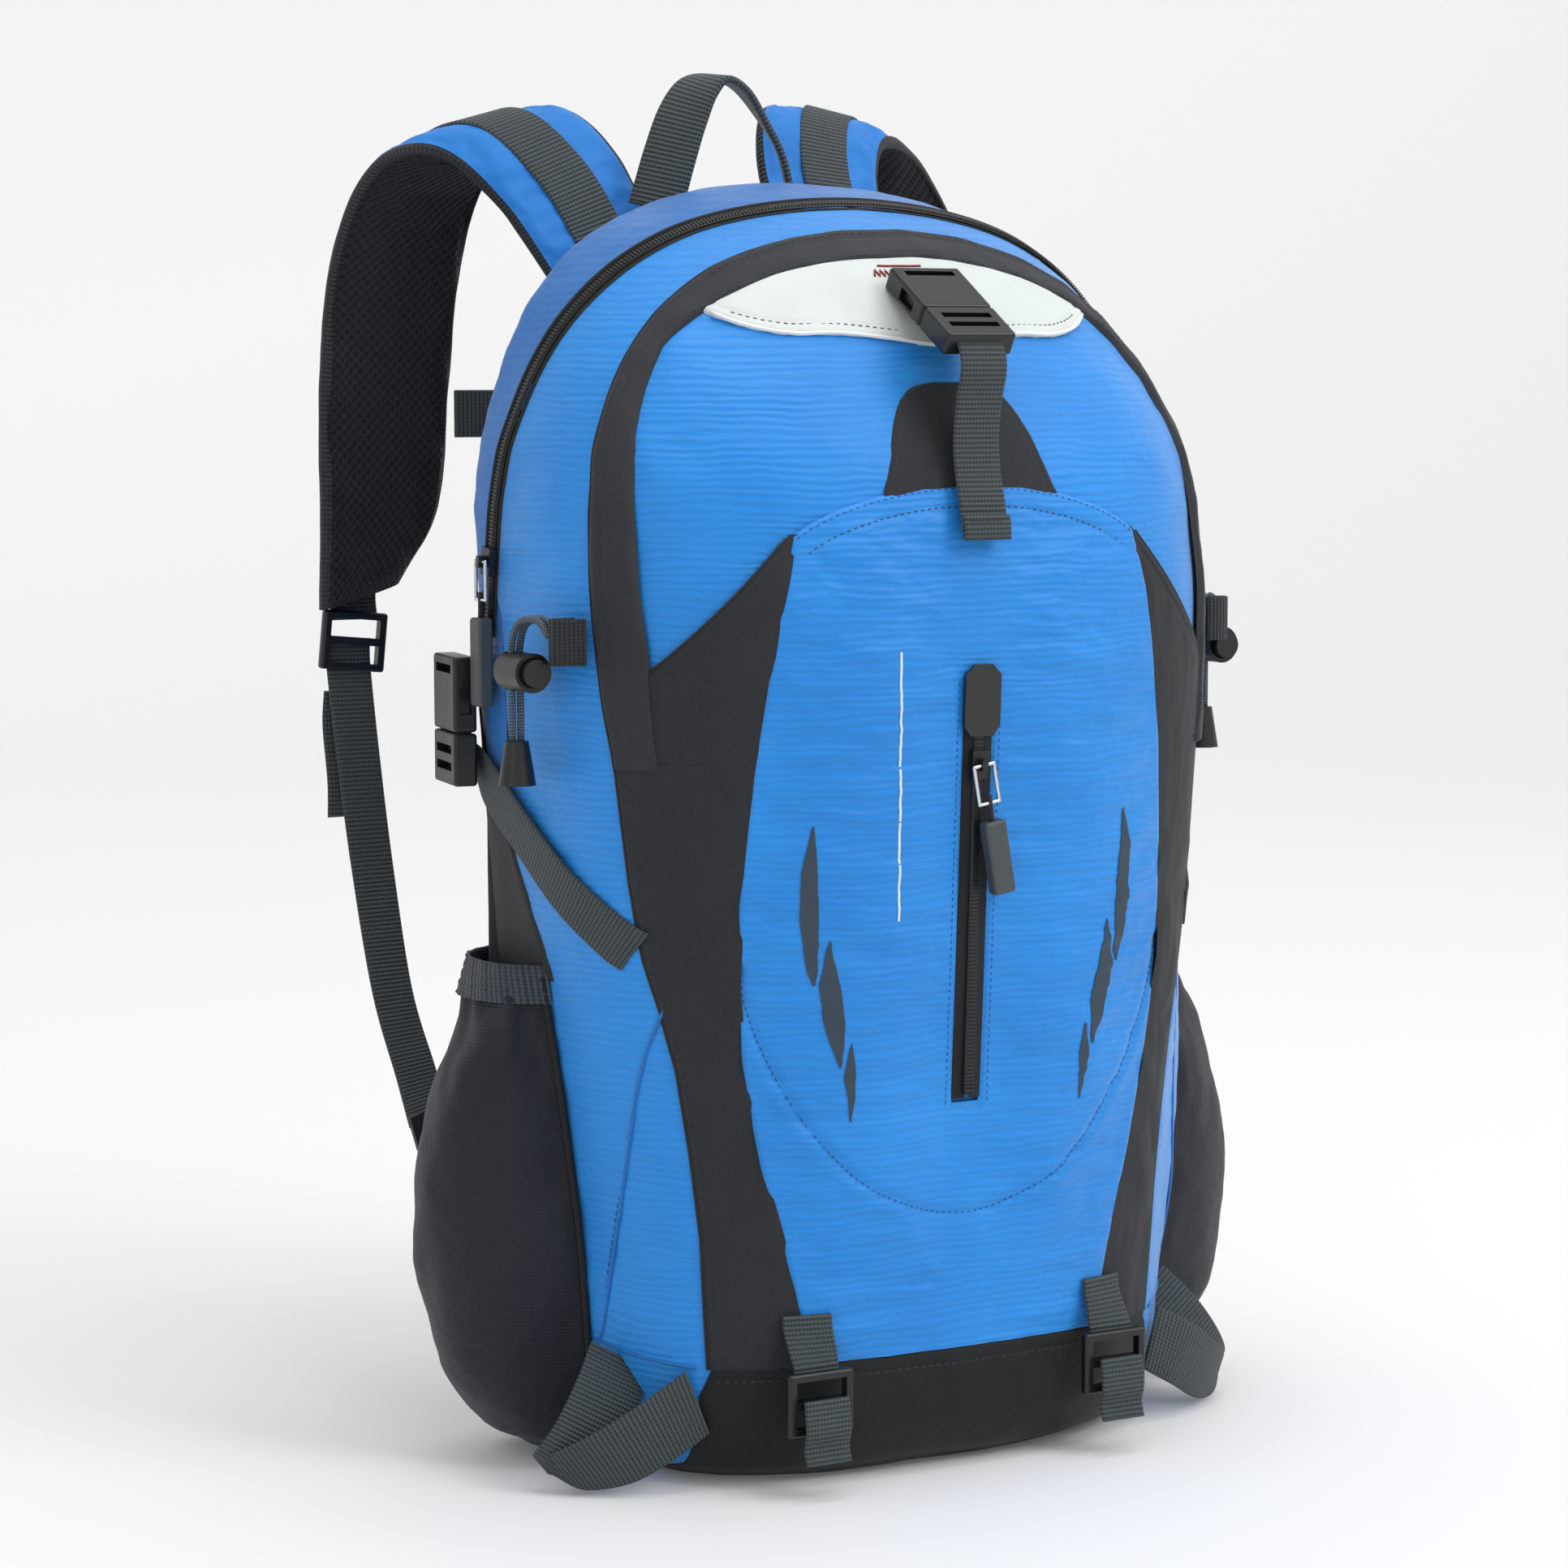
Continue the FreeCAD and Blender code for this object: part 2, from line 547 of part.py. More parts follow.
# side pocket at each height: outermost x, y of its middle, half depth
POUCH = [(6.0, 140.0, 22.0, 34.0), (14.0, 156.0, 22.0, 38.0), (40.0, 174.0, 22.0, 41.0), (90.0, 183.0, 22.0, 42.0),
         (140.0, 176.0, 24.0, 40.0), (180.0, 162.5, 26.0, 38.0), (203.0, 155.0, 27.0, 37.0)]


def pouch(grow):
    """The closed form of one side pocket (right side)."""
    rings = []
    for i, (z, out_x, middle, reach) in enumerate(POUCH):
        rings.append(foil(z - grow if i == 0 else z, out_x + grow, middle, reach + grow, 100.0))
    return Part.makeLoft(rings, True, False)


outside = bag(GAP + LAYER + 2.2)
mesh = pouch(0.0).cut(pouch(-1.4).fuse(box(60, 190, -60, 100, 202.0, 260))).cut(outside)
mesh = mesh.cut(box(-FAR, FAR, -FAR, FAR, 201.0, 260))
hem = pouch(1.6).cut(pouch(0.25)).common(box(60, 250, -60, 100, 189.0, 201.0)).cut(outside)
feature("mesh_pocket_right", mesh)
feature("mesh_pocket_left", mirrored(mesh))
feature("pocket_hems", hem, mirrored(hem))

# back: four cushions outside, sleeve inside
cushions = []
for x0, x1, z0, z1 in ((-96, -6, 250, 440), (6, 96, 250, 440), (-96, 96, 130, 238), (-90, 90, 50, 118)):
    pad = Part.makeBox(x1 - x0, size("pad_depth"), z1 - z0, Vector(x0, 66.4, z0))
    rear = [edge for edge in pad.Edges if edge.CenterOfMass.y > 66.4 + size("pad_depth") - 0.1]
    cushions.append(pad.makeFillet(8.0, rear))
feature("back_pads", *cushions)
feature("sleeve", bag(-WALL - 0.4).common(box(-FAR, FAR, size("sleeve_y"), size("sleeve_y") + size("sleeve_thick"),
                                              0, 330)))


# ---------------------------------------------------------------------------------------------- shoulder straps
PATHS = {
    "left": [((-70, 76, 474), (0.96, 0.0, 0.28), (0, -1, 0.25)), ((-84, 97, 512), (0.92, 0.0, 0.38), (0, -0.8, 0.6)),
             ((-104, 113, 532), (0.94, 0.05, 0.3), (0, 0.05, 1)), ((-124, 132, 520), (0.98, 0.15, 0.1), (0, 0.8, 0.6)),
             ((-136, 144, 480), (1, 0.12, 0), (0, 1, 0.2)), ((-140, 150, 430), (1, 0.1, 0), (0, 1, 0)),
             ((-142, 152, 375), (1, 0.1, 0.08), (0, 1, 0)), ((-152, 152, 340), (0.96, 0.1, 0.28), (0, 1, 0))],
    "right": [((42, 76, 474), (0.99, 0.0, -0.05), (0, -1, 0.25)), ((40, 98, 513), (0.99, 0.0, -0.1), (0, -0.8, 0.6)),
              ((52, 114, 538), (0.97, -0.05, -0.2), (0, 0.05, 1)), ((80, 134, 527), (0.98, -0.15, -0.1), (0, 0.8, 0.6)),
              ((108, 144, 484), (1, -0.12, 0), (0, 1, 0.2)), ((116, 150, 430), (1, -0.1, 0), (0, 1, 0)),
              ((120, 152, 375), (1, -0.1, -0.08), (0, 1, 0)), ((130, 152, 340), (0.96, -0.1, -0.28), (0, 1, 0))],
}
SCALES = [0.84, 0.94, 1.0, 1.0, 1.0, 0.98, 0.9, 0.62]


def refined(stations, steps=3):
    """More stations between the given ones, on smooth curves through all of their numbers."""
    rows = [[*centre, *across, *normal, scale] for centre, across, normal, scale in stations]
    rows = [[2 * a - b for a, b in zip(rows[0], rows[1])]] + rows + [[2 * a - b for a, b in zip(rows[-1], rows[-2])]]
    out = []
    for i in range(1, len(rows) - 2):
        for k in range(steps):
            t = k / steps
            out.append([0.5 * (2 * b + (c - a) * t + (2 * a - 5 * b + 4 * c - d) * t ** 2 + (3 * b - a - 3 * c + d) * t ** 3)
                        for a, b, c, d in zip(*rows[i - 1:i + 3])])
    out.append(rows[-2])
    return [(row[0:3], row[3:6], row[6:9], row[9]) for row in out]


def shifted(path, amount):
    """A path moved along its own normals."""
    out = []
    for centre, across, normal, scale in path:
        a = Vector(*across).normalize()
        n = Vector(*normal)
        n = (n - a * n.dot(a)).normalize()
        out.append((tuple(Vector(*centre) + n * amount), across, normal, 1.0))
    return out


for name, path in PATHS.items():
    side = -1 if name == "left" else 1
    line = refined([(c, a, n, k) for (c, a, n), k in zip(path, SCALES)])
    pad = ribbon(line, size("strap_width"), size("strap_thick"), 3.2)
    feature("shoulder_pad_" + name, pad)
    raised = shifted(line, size("strap_thick") / 2 + 0.6 + WEB_T / 2)
    feature("strap_webbing_" + name, ribbon(raised, WEB + 3, WEB_T))
    end = Vector(*path[-1][0])
    ladder_lock("strap_lock_" + name, frame_of((end.x + side * 1.0, end.y + 1.5, end.z - 6.5), (side * 0.1, 0, -1),
                                               (0, 1, 0)))
lower = []
for side, x in ((-1, 156.0), (1, 134.0)):
    top = side * x
    lower.append(ribbon([((top, 153.6, 305.0), (1, 0, 0), (0, 1, 0), 1.0),
                         ((side * (x - 3), 152, 270), (1, 0, 0), (0, 1, 0), 1.0),
                         ((side * (x - 6), 146, 225), (1, 0.1, 0), (0, 1, 0.1), 1.0),
                         ((side * (x - 4), 122, 176), (1, 0.2, 0), (0, 1, -0.6), 1.0),
                         ((side * 153, 96, 145), (1, 0.2, 0.1), (0, 1, -0.9), 1.0),
                         ((side * 156, 77, 129), (0.9, 0.2, 0.2 * -side), (0, 1, -1.0), 1.0)], WEB, WEB_T))
feature("lower_webbing", *lower)
anchor = prism("xz", [(112, 92), (112, 152), (122, 150), (168, 132), (164, 118), (122, 90)], 68.0, 71.0)
feature("anchor_tabs", anchor, mirrored(anchor))

# sternum strap behind the back, at z 416
STERNUM_Z, STERNUM_Y = 416.0, 149.0
stern_at = frame_of((-40.0, STERNUM_Y, STERNUM_Z), (1, 0, 0), (0, 1, 0))
socket("sternum_socket", stern_at)
prongs("sternum_prongs", stern_at)
back_y = STERNUM_Y + size("buckle_thick") / 2 + 0.6
feature("sternum_webbing_left", box(-107.0, -41.0, STERNUM_Y, STERNUM_Y + WEB_T,
                                     STERNUM_Z - WEB / 2, STERNUM_Z + WEB / 2))
feature("sternum_webbing_right", box(2.0, 84.0, back_y, back_y + WEB_T,
                                      STERNUM_Z - WEB / 2, STERNUM_Z + WEB / 2))

# haul loop
HAUL = [(-52, 509.5), (-48, 522), (-42, 538), (-35, 549.5), (-26, 554), (-15, 550), (-5, 538), (4, 524), (9, 510)]
feature("haul_loop", flat_band(HAUL, size("haul_thick"), 61.0, 61.0 + size("haul_depth"), "xz"))


# ---------------------------------------------------------------------------------------------- cords and locks
HANG_X, HANG_Y = 159.5, -19.0  # where the bungee strands hang straight down


def hanging_line(side, shift):
    """One strand of the pole holder's bungee: out of the tab, over a bend and straight down."""
    points = [(152.4, -37.0, 334.0), (154.6, -31.0, 340.0), (158.0, -22.5, 338.5), (HANG_X, HANG_Y, 330.0),
              (HANG_X, HANG_Y, 293.0)]
    return [Vector(side * (x + shift), y, z) for x, y, z in points]


def strand(points):
    """A round cord along a smooth line."""
    straight = Part.makeLine(points[3], points[-1])
    bend = Part.BSplineCurve()
    bend.interpolate(Points=points[:4], InitialTangent=points[1] - points[0], FinalTangent=Vector(0, 0, -1) * 12)
    path = Part.Wire([bend.toShape(), straight])
    along = (points[1] - points[0]).normalize()
    profile = Part.Wire([Part.makeCircle(size("bungee_radius"), points[0], along)])
    return path.makePipeShell([profile], True, True)


def cord_lock(name, side):
    """Spring barrel on the two strands, its button pointing forward, and the cord end below."""
    s = "Sizes."
    barrel = rod("barrel_" + name, s + "barrel_radius", s + "barrel_length", (0, 0, -8))
    slot = block("barrel_slot_" + name, "40", s + "cord_slot_wide", s + "cord_slot", (-20, 0, -3.5))
    bore = rod("barrel_bore_" + name, s + "button_bore", s + "bore_depth", (0, 0, 0.8))
    # local Z, the button's way, points forward; local X, the slot, follows the strands
    where = frame_of((side * HANG_X, HANG_Y - 3.5, 320.0), (0, 0, 1), (0, -1, 0))
    placed("cord_lock_" + name, carved("cord_lock_" + name, barrel, [slot, bore]), where)
    cap = rod("button_" + name, s + "button_radius", s + "button_length", (0, 0, 4.6))
    placed("lock_button_" + name, joined("lock_button_" + name, [cap, rod("stem_" + name, "2.2", "3", (0, 0, 4.6))]), where)


tabs, cords, ends = [], [], []
half_pitch = size("bungee_pitch") / 2
for side, name in ((-1, "left"), (1, "right")):
    cord_lock(name, side)
    inner, outer = side_x(-44.0, 332) - 3.0, 156.0
    low, high = (inner, outer) if side > 0 else (-outer, -inner)
    tabs.append(box(low, high, -46.2, -39.0, 325.5, 341.0).cut(bag(0.35)))
    cords += [strand(hanging_line(side, shift)) for shift in (-half_pitch, half_pitch)]
    cone = DOC.addObject("Part::Cone", "cord_end_" + name)
    for prop, expression in (("Radius1", "end_base"), ("Radius2", "end_top"), ("Height", "end_height")):
        cone.setExpression(prop, "Sizes." + expression)
    cone.Placement.Base = Vector(side * HANG_X, HANG_Y, 292.9 - size("end_height"))
    ends.append(cone)
feature("pole_tabs", *tabs)
feature("pole_cords", *cords)
both = DOC.addObject("Part::Compound", "cord_ends")
both.Links = ends
keep("cord_ends", both)


# ---------------------------------------------------------------------------------------------- base webbing
bottom = flat_band([(-88.2, 66.0), (-88.8, 60.0), (-89.5, 54.0), (-90.2, 49.0)], WEB_T, 58.0, 78.0)
feature("base_webbing", bottom, mirrored(bottom))
for side, name in ((-1, "left"), (1, "right")):
    ladder_lock("base_lock_" + name, frame_of((side * 68.0, -93.6, 50.0), (0, 0, -1), (0, -1, 0)))

loops = []
for side in (-1, 1):
    loops.append(ribbon([((side * 121, -58, 42), (0.2 * side, 0.1, 1), (side, -1.2, 0.2), 0.9),
                         ((side * 134, -58, 28), (0.5 * side, 0.1, 1), (side * 0.6, -1, 0.3), 1.0),
                         ((side * 150, -46, 13), (0.7 * side, 0.2, 0.9), (side * 0.3, -1, 0.4), 1.0),
                         ((side * 160, -30, 11), (0.3 * side, 0.8, 0.6), (side, -0.3, 0.5), 1.0)], 28.0, 2.4))
feature("corner_loops", *loops)

DOC.recompute()

# ---------------------------------------------------------------------------------------------- check and export
os.makedirs("parts", exist_ok=True)
for node, obj in PARTS.items():
    if "Invalid" in obj.State or "Error" in obj.State:
        raise RuntimeError(f"{node}: {obj.State}")
    if obj.Shape.isNull() or not obj.Shape.isValid():
        raise RuntimeError(f"{node}: bad shape")
    obj.Shape.exportStep(f"parts/{node}.step")
print(len(PARTS), "parts written")
print("front pin", FRONT_PIN, "main pin", MAIN_PIN)
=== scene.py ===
"""Looks of the hiking daypack: cloth, webbing, mesh, pads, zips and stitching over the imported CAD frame."""
import json
import math

import bmesh
import bpy
import numpy as np
from mathutils import Matrix, Vector, noise
from mathutils.bvhtree import BVHTree

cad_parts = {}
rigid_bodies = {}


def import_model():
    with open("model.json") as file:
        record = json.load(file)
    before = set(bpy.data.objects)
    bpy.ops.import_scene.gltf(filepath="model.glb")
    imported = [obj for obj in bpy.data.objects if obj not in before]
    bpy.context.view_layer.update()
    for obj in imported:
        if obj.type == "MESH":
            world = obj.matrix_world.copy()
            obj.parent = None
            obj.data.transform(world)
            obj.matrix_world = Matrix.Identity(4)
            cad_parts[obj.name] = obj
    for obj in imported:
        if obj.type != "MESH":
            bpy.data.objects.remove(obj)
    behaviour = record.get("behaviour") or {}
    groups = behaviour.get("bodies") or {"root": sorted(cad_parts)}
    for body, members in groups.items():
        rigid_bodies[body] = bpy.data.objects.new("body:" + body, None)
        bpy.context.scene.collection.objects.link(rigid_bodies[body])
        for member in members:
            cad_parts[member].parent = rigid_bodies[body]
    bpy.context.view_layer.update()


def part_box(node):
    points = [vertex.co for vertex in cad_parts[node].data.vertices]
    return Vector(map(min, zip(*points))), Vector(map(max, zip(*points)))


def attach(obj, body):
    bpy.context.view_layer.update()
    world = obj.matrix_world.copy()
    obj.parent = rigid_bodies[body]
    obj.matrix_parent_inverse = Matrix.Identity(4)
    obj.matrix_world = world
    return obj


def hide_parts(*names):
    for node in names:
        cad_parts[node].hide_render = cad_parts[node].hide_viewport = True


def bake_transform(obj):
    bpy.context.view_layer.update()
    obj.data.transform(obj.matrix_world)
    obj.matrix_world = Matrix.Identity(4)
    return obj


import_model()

MM = 0.001

# ============================== materials
# A colour is sRGB 0-255 where it is named, and linear where it is used.


def linear(rgb):
    """sRGB 0-255 to linear light."""
    return tuple((c / 255 / 12.92) if c
                 / 255 <= 0.04045 else ((c / 255 + 0.055) / 1.055) ** 2.4 for c in rgb) + (1.0,)


class Maker:
    """Small helper around one material's node tree."""

    def __init__(self, name):
        self.material = bpy.data.materials.new(name)
        self.material.use_nodes = True
        self.tree = self.material.node_tree
        self.shader = next(n for n in self.tree.nodes if n.type == "BSDF_PRINCIPLED")

    def node(self, kind, inputs=None, **settings):
        made = self.tree.nodes.new(kind)
        for key, value in settings.items():
            setattr(made, key, value)
        for key, value in (inputs or {}).items():
            if isinstance(value, bpy.types.NodeSocket):
                self.tree.links.new(value, made.inputs[key])
            else:
                made.inputs[key].default_value = value
        return made

    def math(self, operation, a, b=0.0, clamp=False):
        return self.node("ShaderNodeMath", {0: a, 1: b}, operation=operation, use_clamp=clamp).outputs[0]

    def mix(self, factor, a, b):
        made = self.node("ShaderNodeMix", data_type="RGBA")
        for key, value in ((0, factor), (6, a), (7, b)):
            if isinstance(value, bpy.types.NodeSocket):
                self.tree.links.new(value, made.inputs[key])
            else:
                made.inputs[key].default_value = value
        return made.outputs[2]

    def uv(self):
        """The piece's own map, in millimetres: x and y outputs."""
        split = self.node("ShaderNodeSeparateXYZ",
                          {0: self.node("ShaderNodeUVMap", uv_map="UVMap").outputs[0]})
        return split.outputs[0], split.outputs[1]

    def bump(self, height, strength, distance, after=None):
        inputs = {"Height": height, "Strength": strength, "Distance": distance}
        if after is not None:
            inputs["Normal"] = after
        return self.node("ShaderNodeBump", inputs).outputs[0]

    def set(self, **sockets):
        for key, value in sockets.items():
            socket = self.shader.inputs[key.replace("_", " ")]
            if isinstance(value, bpy.types.NodeSocket):
                self.tree.links.new(value, socket)
            else:
                socket.default_value = value
        return self.material


def noise_of(m, scale, detail=3.0, rough=0.5, stretch=(1, 1, 1), vector=None):
    """Noise over the object's own coordinates (metres), stretched per axis."""
    if vector is None:
        vector = m.node("ShaderNodeTexCoord").outputs["Object"]
    mapped = m.node("ShaderNodeMapping", {"Vector": vector, "Scale": stretch}).outputs[0]
    return m.node("ShaderNodeTexNoise",
                  {"Vector": mapped, "Scale": scale, "Detail": detail, "Roughness": rough}).outputs[0]


def ripstop(name, colour, light, rib=2.3, depth=0.00022, gloss=0.42):
    """Coated nylon with fine level ribs that waver and crinkle."""
    m = Maker(name)
    u, v = m.uv()
    drift = noise_of(m, 26.0, 2.0, 0.5, (1, 1, 3))
    sway = m.math("MULTIPLY", m.math("SUBTRACT", drift, 0.5), 7.0)
    phase = m.math("MULTIPLY", m.math("ADD", v, sway), 2 * math.pi / rib)
    ribs = m.math("SINE", phase)
    fade = noise_of(m, 38.0, 2.0, 0.6, (0.6, 0.6, 5.0))
    ribs = m.math("MULTIPLY", ribs, m.math("MULTIPLY", fade, 1.3))
    weave = m.math("MULTIPLY", m.math("SINE", m.math("MULTIPLY", u, 2 * math.pi / 0.62)),
                   m.math("SINE", m.math("MULTIPLY", v, 2 * math.pi / 0.62)))
    crinkle = noise_of(m, 120.0, 5.0, 0.62, (1, 1, 2.6))
    broad = noise_of(m, 14.0, 3.0, 0.5)
    normal = m.bump(ribs, 0.55, depth)
    normal = m.bump(crinkle, 0.5, 0.0009, normal)
    normal = m.bump(weave, 0.25, 0.00008, normal)
    tone = m.mix(m.math("MULTIPLY", broad, 0.9, True), linear(colour), linear(light))
    tone = m.mix(m.math("MULTIPLY", m.math("ADD", ribs, 1.0), 0.11, True), tone,
                 linear([c * 0.66 for c in colour]))
    return m.set(Base_Color=tone, Roughness=gloss, Normal=normal, Sheen_Weight=0.25, Sheen_Roughness=0.4,
                 Specular_IOR_Level=0.35)


def plain_weave(name, colour, light, pitch=0.7, gloss=0.62, crinkle_depth=0.0007, sheen=0.06):
    """Dark packcloth: a plain weave with soft crinkles."""
    m = Maker(name)
    u, v = m.uv()
    weave = m.math("MULTIPLY", m.math("SINE", m.math("MULTIPLY", u, 2 * math.pi / pitch)),
                   m.math("SINE", m.math("MULTIPLY", v, 2 * math.pi / pitch)))
    crinkle = noise_of(m, 90.0, 4.0, 0.6)
    broad = noise_of(m, 22.0, 3.0, 0.5)
    normal = m.bump(crinkle, 0.5, crinkle_depth)
    normal = m.bump(weave, 0.5, 0.00012, normal)
    tone = m.mix(broad, linear(colour), linear(light))
    return m.set(Base_Color=tone, Roughness=gloss, Normal=normal, Sheen_Weight=sheen, Sheen_Roughness=0.5,
                 Specular_IOR_Level=0.28)


def webbing_look(name, colour, light, rib=1.9, gloss=0.6):
    """Woven strap: ribs across it and fine ridges along it."""
    m = Maker(name)
    u, v = m.uv()
    across = m.math("SINE", m.math("MULTIPLY", v, 2 * math.pi / rib))
    along = m.math("SINE", m.math("MULTIPLY", u, 2 * math.pi / 1.5))
    height = m.math("ADD", m.math("MULTIPLY", across, 0.75), m.math("MULTIPLY", along, 0.3))
    fuzz = noise_of(m, 900.0, 2.0, 0.6)
    normal = m.bump(height, 0.9, 0.00035)
    normal = m.bump(fuzz, 0.3, 0.0002, normal)
    tone = m.mix(m.math("MULTIPLY", m.math("ADD", height, 1.0), 0.5, True),
                 linear([c * 0.62 for c in colour]), linear(light))
    tone = m.mix(m.math("MULTIPLY", noise_of(m, 40.0), 0.35), tone, linear(colour))
    return m.set(Base_Color=tone, Roughness=gloss, Normal=normal, Sheen_Weight=0.08, Sheen_Roughness=0.5,
                 Specular_IOR_Level=0.3)


def air_mesh(name, hole, thread, cell=3.4):
    """Spacer mesh: rows of dark lozenge holes between raised threads."""
    m = Maker(name)
    u, v = m.uv()
    a = m.math("SINE", m.math("MULTIPLY", m.math("ADD", u, v), math.pi / cell))
    b = m.math("SINE", m.math("MULTIPLY", m.math("SUBTRACT", u, v), math.pi / cell))
    net = m.math("MAXIMUM", m.math("ABSOLUTE", a), m.math("ABSOLUTE", b))
    height = m.math("POWER", m.math("ABSOLUTE", m.math("MULTIPLY", a, b)), 0.6)
    knit = m.math("SINE", m.math("MULTIPLY", v, 2 * math.pi / 0.8))
    height = m.math("ADD", m.math("MULTIPLY", m.math("SUBTRACT", 1.0, height), 1.0),
                    m.math("MULTIPLY", knit, 0.08))
    tone = m.mix(m.math("MULTIPLY", height, 0.85, True), linear(hole), linear(thread))
    normal = m.bump(height, 1.0, 0.0009)
    return m.set(Base_Color=tone, Roughness=0.7, Normal=normal, Sheen_Weight=0.08, Specular_IOR_Level=0.25)


def fine_mesh(name, dark, light):
    """Fine stretch net of the side pockets."""
    m = Maker(name)
    u, v = m.uv()
    a = m.math("SINE", m.math("MULTIPLY", m.math("ADD", u, m.math("MULTIPLY", v, 0.6)), 2 * math.pi / 1.7))
    b = m.math("SINE",
               m.math("MULTIPLY", m.math("SUBTRACT", u, m.math("MULTIPLY", v, 0.6)), 2 * math.pi / 1.7))
    net = m.math("MULTIPLY", a, b)
    tone = m.mix(m.math("ADD", m.math("MULTIPLY", net, 0.35), 0.4, True), linear(dark), linear(light))
    tone = m.mix(m.math("MULTIPLY", noise_of(m, 30.0, 3.0), 0.5), tone, linear(dark))
    normal = m.bump(net, 0.7, 0.00025)
    normal = m.bump(noise_of(m, 70.0, 3.0, 0.6), 0.5, 0.0012, normal)
    return m.set(Base_Color=tone, Roughness=0.55, Normal=normal, Sheen_Weight=0.1, Sheen_Roughness=0.45,
                 Specular_IOR_Level=0.35)


def smooth_look(name, colour, gloss, grain=0.0002, scale=260.0, coat=0.0, specular=0.5):
    """Moulded plastic, rubber or leatherette."""
    m = Maker(name)
    normal = m.bump(noise_of(m, scale, 3.0), 0.35, grain)
    rough = m.math("ADD", m.math("MULTIPLY", noise_of(m, 60.0, 2.0), 0.16), gloss - 0.08)
    tone = m.mix(m.math("MULTIPLY", noise_of(m, 45.0, 2.0), 0.5), linear(colour),
                 linear([c * 0.86 for c in colour]))
    return m.set(Base_Color=tone, Roughness=rough, Normal=normal, Coat_Weight=coat,
                 Specular_IOR_Level=specular)


def wire_look(name):
    """Polished wire."""
    m = Maker(name)
    return m.set(Base_Color=linear((214, 214, 216)), Metallic=1.0, Roughness=0.16)


LOOKS = {
    "blue": ripstop("azure_nylon", (18, 122, 208), (44, 156, 244), rib=3.0),
    # The sides and back get a darker copy of the same azure nylon: painted shade for the faces turned away
    # from the key light.
    "blue_painted_shade": ripstop("azure_nylon_painted_shade", (14, 98, 178), (30, 124, 204), rib=3.6, depth=0.00016),
    "blue_pad": plain_weave("azure_pad", (22, 112, 196), (36, 132, 216), 0.7, 0.5, 0.0003, 0.1),
    "charcoal": plain_weave("charcoal_nylon", (30, 31, 35), (42, 43, 48)),
    "flap": plain_weave("flap_nylon", (34, 37, 42), (46, 49, 54), 0.8, 0.6, 0.001),
    "base": plain_weave("base_nylon", (7, 8, 10), (13, 14, 16), 0.7, 0.45),
    "webbing": webbing_look("slate_webbing", (50, 58, 62), (80, 90, 94)),
    "webbing_dark": webbing_look("black_webbing", (28, 31, 35), (48, 52, 58)),
    "hem": webbing_look("elastic_hem", (50, 56, 64), (74, 82, 92), 2.6),
    "leather": smooth_look("leatherette", (214, 221, 219), 0.5, 0.0001, 500.0, 0.0, 0.4),
    "rim": smooth_look("leather_rim", (236, 240, 238), 0.45, 0.0001, 500.0, 0.1, 0.5),
    "air_mesh": air_mesh("air_mesh", (3, 4, 7), (34, 39, 50), 4.6),
    "pocket_mesh": fine_mesh("pocket_mesh", (9, 12, 20), (32, 39, 54)),
    "zip": smooth_look("zip_coil", (20, 21, 23), 0.42, 0.0001, 300.0),
    "tape": plain_weave("zip_tape", (22, 23, 26), (34, 35, 38), 0.5, 0.7, 0.0002),
    "plastic": smooth_look("black_plastic", (20, 20, 22), 0.36, 0.00012, 420.0),
    "rubber": smooth_look("slate_rubber", (66, 73, 76), 0.5, 0.0001, 300.0),
    "garage": smooth_look("garage_rubber", (24, 25, 27), 0.3, 0.00008, 300.0, 0.15),
    "cord": webbing_look("dark_cord", (30, 34, 40), (52, 58, 66), 1.1),
    "bungee": webbing_look("slate_bungee", (70, 84, 98), (112, 128, 142), 1.2),
    "wire": wire_look("bright_wire"),
    "thread": smooth_look("thread", (52, 54, 58), 0.7, 0.0001, 300.0),
    "thread_blue": smooth_look("thread_blue", (20, 70, 140), 0.6, 0.0001, 300.0),
    "thread_red": smooth_look("thread_red", (158, 40, 42), 0.6, 0.0001, 300.0),
    "print": smooth_look("print_dark", (40, 58, 74), 0.5, 0.0001, 300.0),
    "print_white": smooth_look("print_white", (222, 232, 240), 0.5, 0.0001, 300.0),
    "lining": plain_weave("lining", (52, 54, 60), (66, 68, 74), 0.8, 0.7, 0.0008),
}

